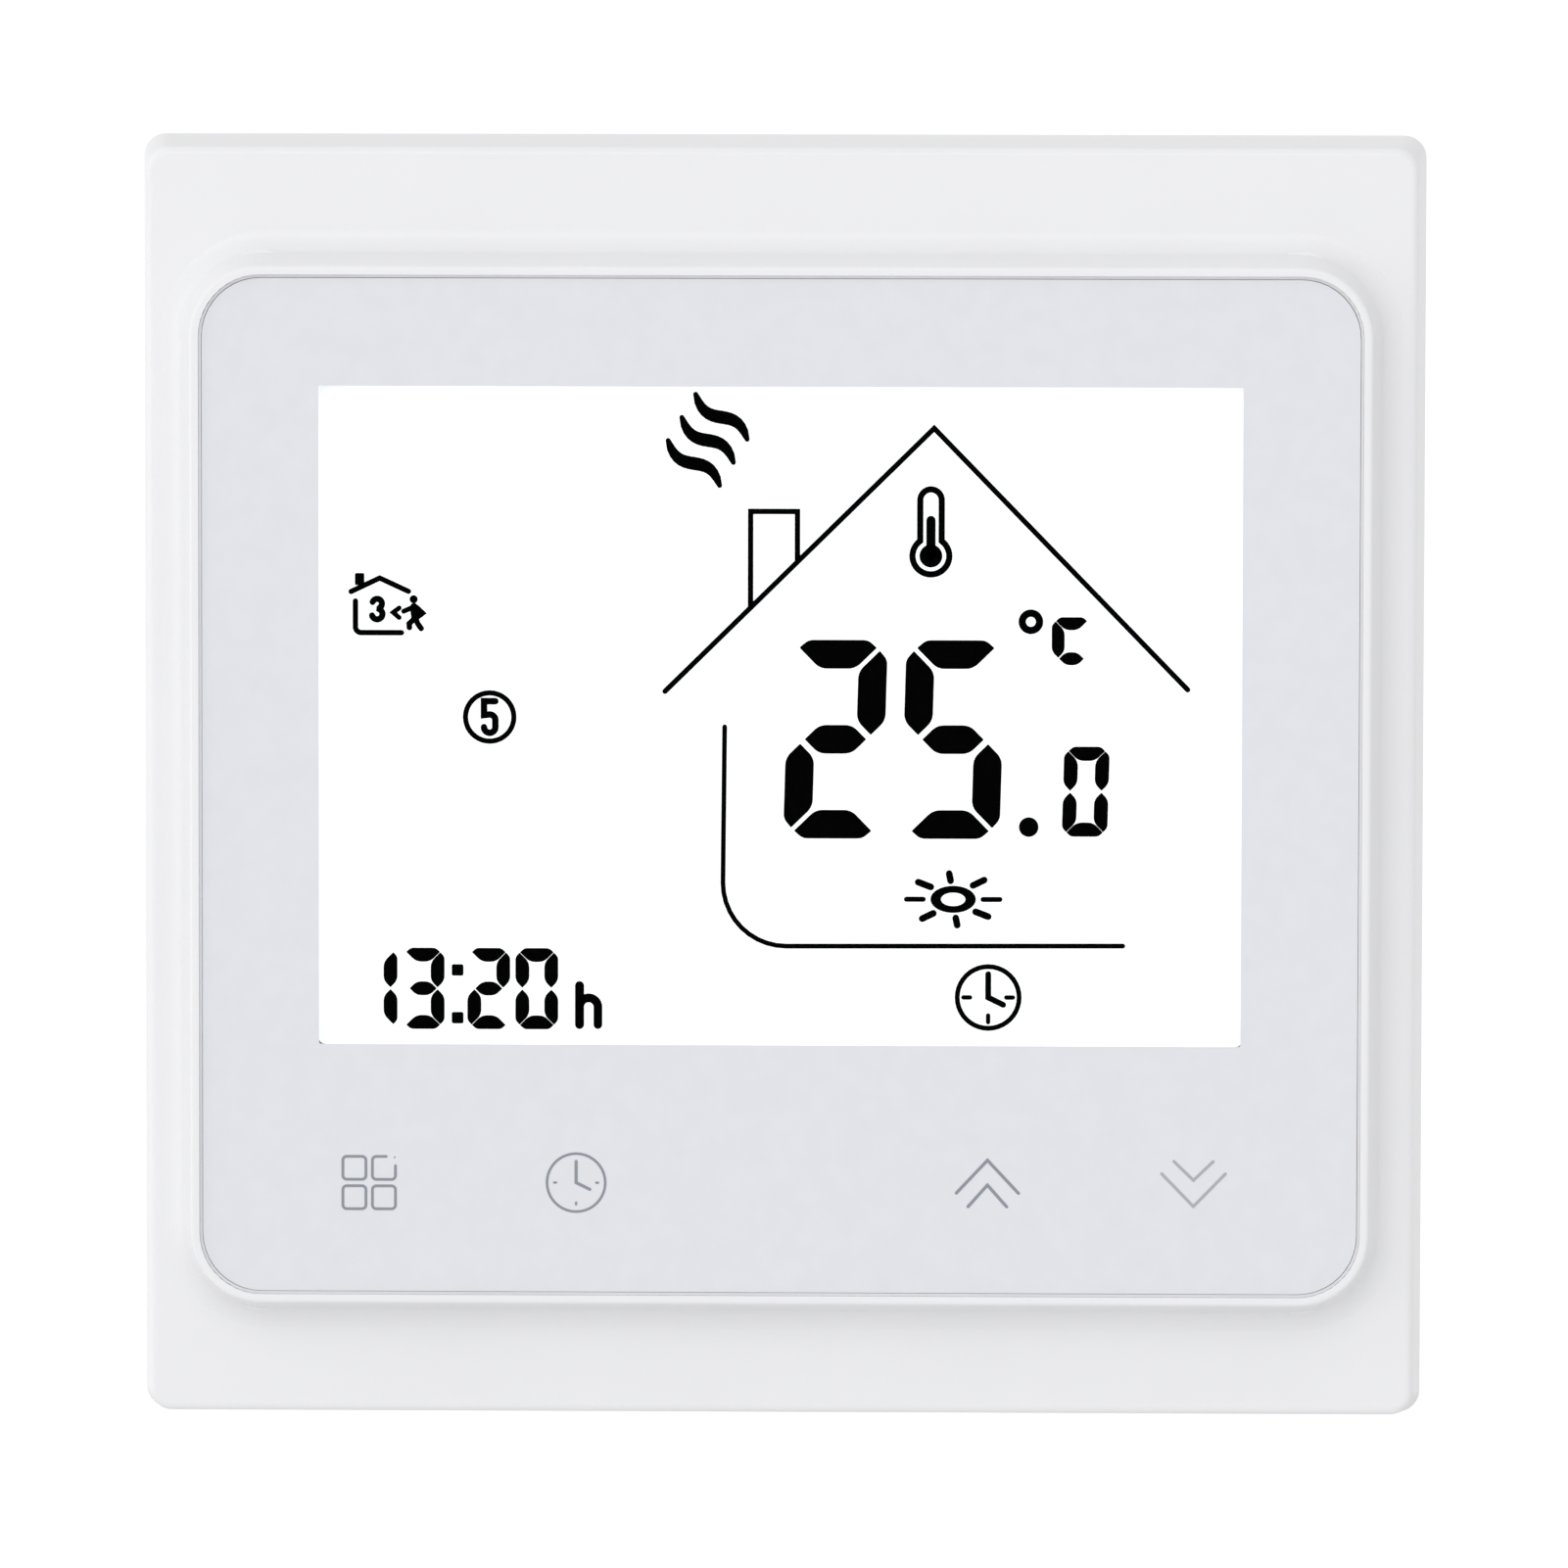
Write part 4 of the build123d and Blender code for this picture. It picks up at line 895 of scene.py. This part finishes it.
def small_part(b, is_resistor):
    """A resistor or a capacitor with its metal end caps and its pads."""
    length, width, height = RESISTOR if is_resistor else CAPACITOR
    end, inner, half_w = length / 2, length / 2 - END_CAP, width / 2
    b.slot = 0
    for sign in (-1, 1):
        cap = sorted((sign * inner, sign * end))
        b.block(cap, above_board((0.02, height + END_CAP_PROUD)), (-half_w, half_w), 0.04)
        pad = sorted((sign * (inner - 0.05), sign * (end + 0.35)))
        b.block(pad, above_board((0.002, 0.016)), (-half_w - 0.1, half_w + 0.1), PAD_CORNER_R)
    b.slot = 1 if is_resistor else 2
    within, narrow = inner - 0.004, half_w - 0.01
    b.block((-within, within), above_board((0.03, height)), (-narrow, narrow))


def board_small_parts():
    """Small parts in rows around the chip and the keys, where every third one is a capacitor."""
    b = Build()
    # Each row's first place, its step along X and along Z, its count, and its parts' turn in degrees.
    rows = [(chip_at.x + 9.5, chip_at.z - 6, 0, 2.4, 6, 0), (chip_at.x + 13.5, chip_at.z - 6, 0, 2.4, 5, 0)]
    rows += [(chip_at.x - 6, chip_at.z + 9, 2.6, 0, 6, 90), (chip_at.x - 5, chip_at.z - 9.2, 2.6, 0, 5, 90)]
    rows += [(k * key_pitch - 4.6, key_z - 1.1, 0, 2.4, 2, 0) for k in KEYS]
    rows += [(-24.0, 3.0, 2.6, 0, 5, 90), (-24.0, -2.5, 2.6, 0, 5, 90), (24.0, -3.0, 0, -2.4, 5, 0)]
    places = [(x + dx * k, z + dz * k, turn) for x, z, dx, dz, count, turn in rows for k in range(count)]
    for i, (x, z, turn) in enumerate(places):
        b.place = Matrix.Translation((x, 0, z)) @ Matrix.Rotation(math.radians(turn), 4, "Y")
        small_part(b, i % 3 != 1)
    piece("board_small_parts", b, [solder, finishes["black_epoxy"], chip_ceramic])


def header_tracks(b):
    """Tracks from the chip down to the header between the halves."""
    low = chip_at.z - chip_w / 2 - 1.3
    for k in range(8):
        x, start = (k - 3.5) * 2.54, chip_at.x - 3.2 + 0.8 * k
        path = [(start, low), (start, low - 3.0 - 0.45 * abs(k - 5))]
        path += [(x, header_high.z + 1.6), (x, header_high.z + 0.3)]
        b.line(path, TRACK_W)


def display_tracks(b):
    """Tracks from the chip around to the display's pins."""
    low = pins_high.z + 1.0
    for k in range(10):
        start, lane = chip_at.z - 3.6 + 0.8 * k, 9 - k
        bend, x, turn_z = 26.5 + 0.7 * lane, 23.0 - 2.56 * lane, low + 2.6 + 0.6 * lane
        path = [(chip_at.x + chip_w / 2 + 1.3, start), (bend - 1, start), (bend, start - 1), (bend, turn_z + 1)]
        path += [(bend - 1, turn_z), (x + 1, turn_z), (x, low + 1.6), (x, low)]
        b.line(path, FINE_TRACK_W)


def key_tracks(b):
    """Tracks from the keys' springs up the right side and over to the chip."""
    for i, k in enumerate(KEYS):
        lane = 0.8 * i
        x, z = k * key_pitch + spring_r, key_z - 2.2 - 0.9 * i
        right, top = 32.2 + lane, 21.8 + lane
        path = [(x, key_z - 1.2), (x, z + 0.6), (x + 0.6 if k < 2 else x - 0.6, z), (right - 0.6, z)]
        path += [(right, z + 0.6), (right, top - 0.8), (right - 0.8, top), (chip_at.x + 2.8 - lane, top)]
        b.line(path, TRACK_W)


def board_traces():
    """Copper tracks, vias and the ground rim under the solder mask, standing a little proud."""
    b = Build(above_board(COPPER))
    for tracks in (header_tracks, display_tracks, key_tracks):
        tracks(b)
    vias = [(-30 + 4.1 * k, 9 - 2.9 * (k % 3)) for k in range(9)]
    vias += [(-32 + 5.2 * k, -12 - 2.2 * (k % 2)) for k in range(12)]
    for x, z in vias:
        b.ring(x, z, 0.42, 0.2)
        b.line([(x + 0.42, z), (x + 1.6, z), (x + 2.3, z - 0.7)], FINE_TRACK_W)
    rim = rectangle(0, 0, board_high.x - board_low.x - 2.4, board_high.z - board_low.z - 2.4, 1.4)
    b.loop_line(rim, 0.9)
    piece("board_traces", b, mask_high)


def board_marks():
    """White outlines around the larger parts, with no lettering."""
    b = Build(above_board(MARKS))
    half, arm = chip_w / 2 + 1.7, 1.5
    for sx, sz in ((-1, -1), (-1, 1), (1, -1), (1, 1)):
        x, z = chip_at.x + sx * half, chip_at.z + sz * half
        b.line([(x - sx * arm, z), (x, z), (x, z - sz * arm)], MARK_W)
    b.prism(disc(chip_at.x - half - 0.8, chip_at.z + half, 0.35))
    b.ring(cell_at.x, cell_at.z, cell_r + 0.9, cell_r + 0.7)
    w, h = header_high.x - header_low.x + 1.0, header_high.z - header_low.z + 1.0
    b.loop_line(rectangle(0, (header_high.z + header_low.z) / 2, w, h, 0.2), MARK_W)
    for k in KEYS:
        b.ring(k * key_pitch, key_z, spring_r + 1.0, spring_r + 0.8)
    piece("board_marks", b, board_white)


def cell_clip():
    """The sprung strap that holds the coin cell, soldered at both ends."""
    b = Build()
    top, wall, half_w, reach, foot_reach = cell_top + 0.03, 0.18, 1.7, cell_r + 0.5, cell_r + 2.0
    across, base = (cell_at.z - half_w, cell_at.z + half_w), board_y + 0.02
    for sign in (-1, 1):
        side = [cell_at.x + far for far in sorted((sign * reach, sign * (reach + wall)))]
        b.block(side, (base, top + wall), across)
        foot = [cell_at.x + far for far in sorted((sign * (reach + wall / 2), sign * foot_reach))]
        b.block(foot, (base, base + wall), across, 0.15)
    strap = (cell_at.x - reach - wall / 2, cell_at.x + reach + wall / 2)
    b.block(strap, (top, top + wall), across)
    piece("cell_clip", b, finishes["spring_steel"], bevel=0.04)


# ==== the rear box's label and terminal numbers
rear_high = box_mm("rear_box")[1].y
housing_low, housing_high = box_mm("terminal_housing")
LABEL_W, LABEL_H, LABEL_Z, LABEL_RECESS = 30.0, 18.0, 6.0, 0.25
LABEL_PITCH, LABEL_LINE, WIRE_LINE = 4.2, 0.18, 0.14
LABEL_STAGGER = 1.1  # every other wire is longer by this
label_paper = moulded("label_film", (0.6, 0.61, 0.62), roughness=0.35, grain=0.2, relief=0.001)
label_ink = ink("label_ink", (0.02, 0.02, 0.022), 0.45)
NUMERALS = {
    "1": [[(-0.22, 0.3), (0.05, 0.5), (0.05, -0.5)]],
    "2": [arc(0, 0.22, 0.28, 170, -30) + [(-0.28, -0.5), (0.3, -0.5)]],
    "3": [digit_three(0, 0, 1.0)],
    "4": [[(0.14, -0.5), (0.14, 0.5), (-0.3, -0.18), (0.32, -0.18)]],
    "5": [digit_five(0, 0, 1.0)],
    "6": [arc(0.02, -0.2, 0.29, 130, 490)[:-1] + [(0.12, 0.5)]],
}
SEEN_FROM_BEHIND = Matrix.Scale(-1, 4, Vector((1, 0, 0)))


def numeral(b, sign, x, z, size, line):
    """A plain numeral that reads right when its build is placed to be seen from behind."""
    for path in NUMERALS[sign]:
        b.line(moved(path, -x, z, size), line)


def rating_label():
    """A film label in the rear box's recess, with a border, six numbered terminals and plain wiring lines."""
    base = rear_high - LABEL_RECESS + 0.01
    b = Build((base, base + 0.09), SEEN_FROM_BEHIND)
    b.prism(rectangle(0, LABEL_Z, LABEL_W - 0.5, LABEL_H - 0.5, 0.8))
    piece("rating_label", b, label_paper, body="base")
    b = Build((base + 0.092, base + 0.104), SEEN_FROM_BEHIND)
    b.loop_line(rectangle(0, LABEL_Z, LABEL_W - 2.0, LABEL_H - 2.0, 0.5), LABEL_LINE)
    row = LABEL_Z - LABEL_H / 2 + 3.2
    wire_end, load_z = row + 3.0, row + 6.6
    for k in range(6):
        x = (k - 2.5) * LABEL_PITCH
        b.ring(x, row, 0.85, 0.7)
        numeral(b, str(6 - k), -x, row, 0.9, WIRE_LINE)
        b.line([(x, row + 0.9), (x, wire_end + LABEL_STAGGER * (k % 2))], WIRE_LINE)
    for k in (0, 2, 4):
        x = (k - 2) * LABEL_PITCH
        b.loop_line(rectangle(x, load_z, 3.0, 1.3, 0.1), WIRE_LINE)
        for sign, end in ((-1, wire_end), (1, wire_end + LABEL_STAGGER)):
            spot = x + sign * LABEL_PITCH / 2
            b.line([(x + sign * 1.5, load_z), (spot, load_z), (spot, end)], WIRE_LINE)
    for i in range(3):
        z = LABEL_Z + LABEL_H / 2 - 2.4 - 0.9 * i
        b.prism(rectangle(-7.2 + 0.8 * i, z, 10.0 + 1.6 * i, 0.34))
    piece("rating_label_print", b, label_ink, body="base")


def terminal_numbers():
    """Raised numbers under the terminal screws."""
    b = Build((housing_high.y - 0.02, housing_high.y + 0.12), SEEN_FROM_BEHIND)
    for k in range(1, 7):
        at = middle_of(f"terminal_screw_{k}")
        below = (housing_low.z + at.z - 1.9) / 2  # halfway from the screw's head to the housing's edge
        numeral(b, str(k), at.x, below, 1.5, 0.26)
    piece("terminal_numbers", b, board_white, body="base")


for make in (chip_legs, solder_joints, board_small_parts, board_traces, board_marks, cell_clip):
    make()
for make in (rating_label, terminal_numbers):
    make()


# ==== stage, light and camera
FLOOR_Z, FLOOR_R = -1.0, 6.0  # in metres
# The studio's strength, as places from 0 to 1: from straight below to straight above, and from left to right.
STRENGTH_BY_HEIGHT = ((0.0, 0.72), (0.412, 0.8), (0.425, 1.06), (0.53, 1.06), (0.56, 0.84), (1.0, 0.88))
STRENGTH_ACROSS = ((0.0, 1.8), (0.12, 1.14), (0.3, 0.98), (0.5, 0.98), (0.8, 0.96), (1.0, 0.72))
KEY_POWER, KEY_SIZE, KEY_AT = 6.6, 1.2, (-0.2, -1.9, 0.6)  # in watts and metres
CAMERA_AIM, CAMERA_DISTANCE = (0.14, -6.0, -0.26), 721
AZIMUTH, ELEVATION, ROLL = (math.radians(turn) for turn in (1.1, 3.9, 0.106))
SENSOR, LENS = 36, 248


def floor():
    """A plain pale floor, well below the object."""
    n = Nodes("floor_white")
    base = n.ramp(n.noise(400, 2), (0.82, 0.82, 0.82), (0.84, 0.84, 0.84))
    paint = n.finish(base, n.spread(n.noise(60, 3), 0.7, 0.8))
    mesh = bmesh.new()
    bmesh.ops.create_circle(mesh, cap_ends=True, segments=96, radius=FLOOR_R)
    data = bpy.data.meshes.new("floor")
    mesh.to_mesh(data)
    mesh.free()
    data.materials.append(paint)
    made = bpy.data.objects.new("floor", data)
    made.location.z = FLOOR_Z
    bpy.context.scene.collection.objects.link(made)


def strength_along(tree, direction, stops):
    """The studio's strength along one component of a direction, which runs from -1 to 1."""
    share = tree.nodes.new("ShaderNodeMapRange")
    share.inputs["From Min"].default_value = -1
    tree.links.new(direction, share.inputs["Value"])
    shades = tree.nodes.new("ShaderNodeValToRGB")
    tree.links.new(share.outputs["Result"], shades.inputs["Fac"])
    elements = shades.color_ramp.elements
    while len(elements) < len(stops):
        elements.new(0.5)
    for element, (position, strength) in zip(elements, stops):
        element.position = position
        element.color = (strength, strength, strength, 1)
    return shades.outputs["Color"]


def studio_light():
    """An even pale studio, brightest level with the object and at its far left, with a soft key light in front."""
    world = bpy.data.worlds.new("studio")
    bpy.context.scene.world = world
    world.use_nodes = True
    tree = world.node_tree
    background = tree.nodes["Background"]
    background.inputs["Color"].default_value = (0.995, 0.997, 1.0, 1)
    place = tree.nodes.new("ShaderNodeTexCoord")
    split = tree.nodes.new("ShaderNodeSeparateXYZ")
    tree.links.new(place.outputs["Generated"], split.inputs["Vector"])
    level = tree.nodes.new("ShaderNodeMath")
    level.operation = "MULTIPLY"
    tree.links.new(strength_along(tree, split.outputs["Z"], STRENGTH_BY_HEIGHT), level.inputs[0])
    tree.links.new(strength_along(tree, split.outputs["X"], STRENGTH_ACROSS), level.inputs[1])
    tree.links.new(level.outputs["Value"], background.inputs["Strength"])
    key = bpy.data.lights.new("key", "AREA")
    key.energy, key.shape, key.size = KEY_POWER, "DISK", KEY_SIZE
    lamp = bpy.data.objects.new("key", key)
    lamp.location = KEY_AT
    lamp.rotation_euler = (-Vector(KEY_AT)).to_track_quat("-Z", "Y").to_euler()
    bpy.context.scene.collection.objects.link(lamp)


def camera():
    """The camera looks almost straight at the front from far away."""
    flat = math.cos(ELEVATION)
    away = Vector((math.sin(AZIMUTH) * flat, -math.cos(AZIMUTH) * flat, math.sin(ELEVATION)))
    data = bpy.data.cameras.new("camera")
    data.sensor_width, data.lens = SENSOR, LENS
    made = bpy.data.objects.new("camera", data)
    facing = (-away).to_track_quat("-Z", "Y").to_matrix() @ Matrix.Rotation(ROLL, 3, "Z")
    stand = Vector(CAMERA_AIM) * MM + away * CAMERA_DISTANCE * MM
    made.matrix_world = Matrix.Translation(stand) @ facing.to_4x4()
    bpy.context.scene.collection.objects.link(made)
    bpy.context.scene.camera = made


floor()
studio_light()
camera()
bpy.context.scene.view_settings.view_transform = "Standard"
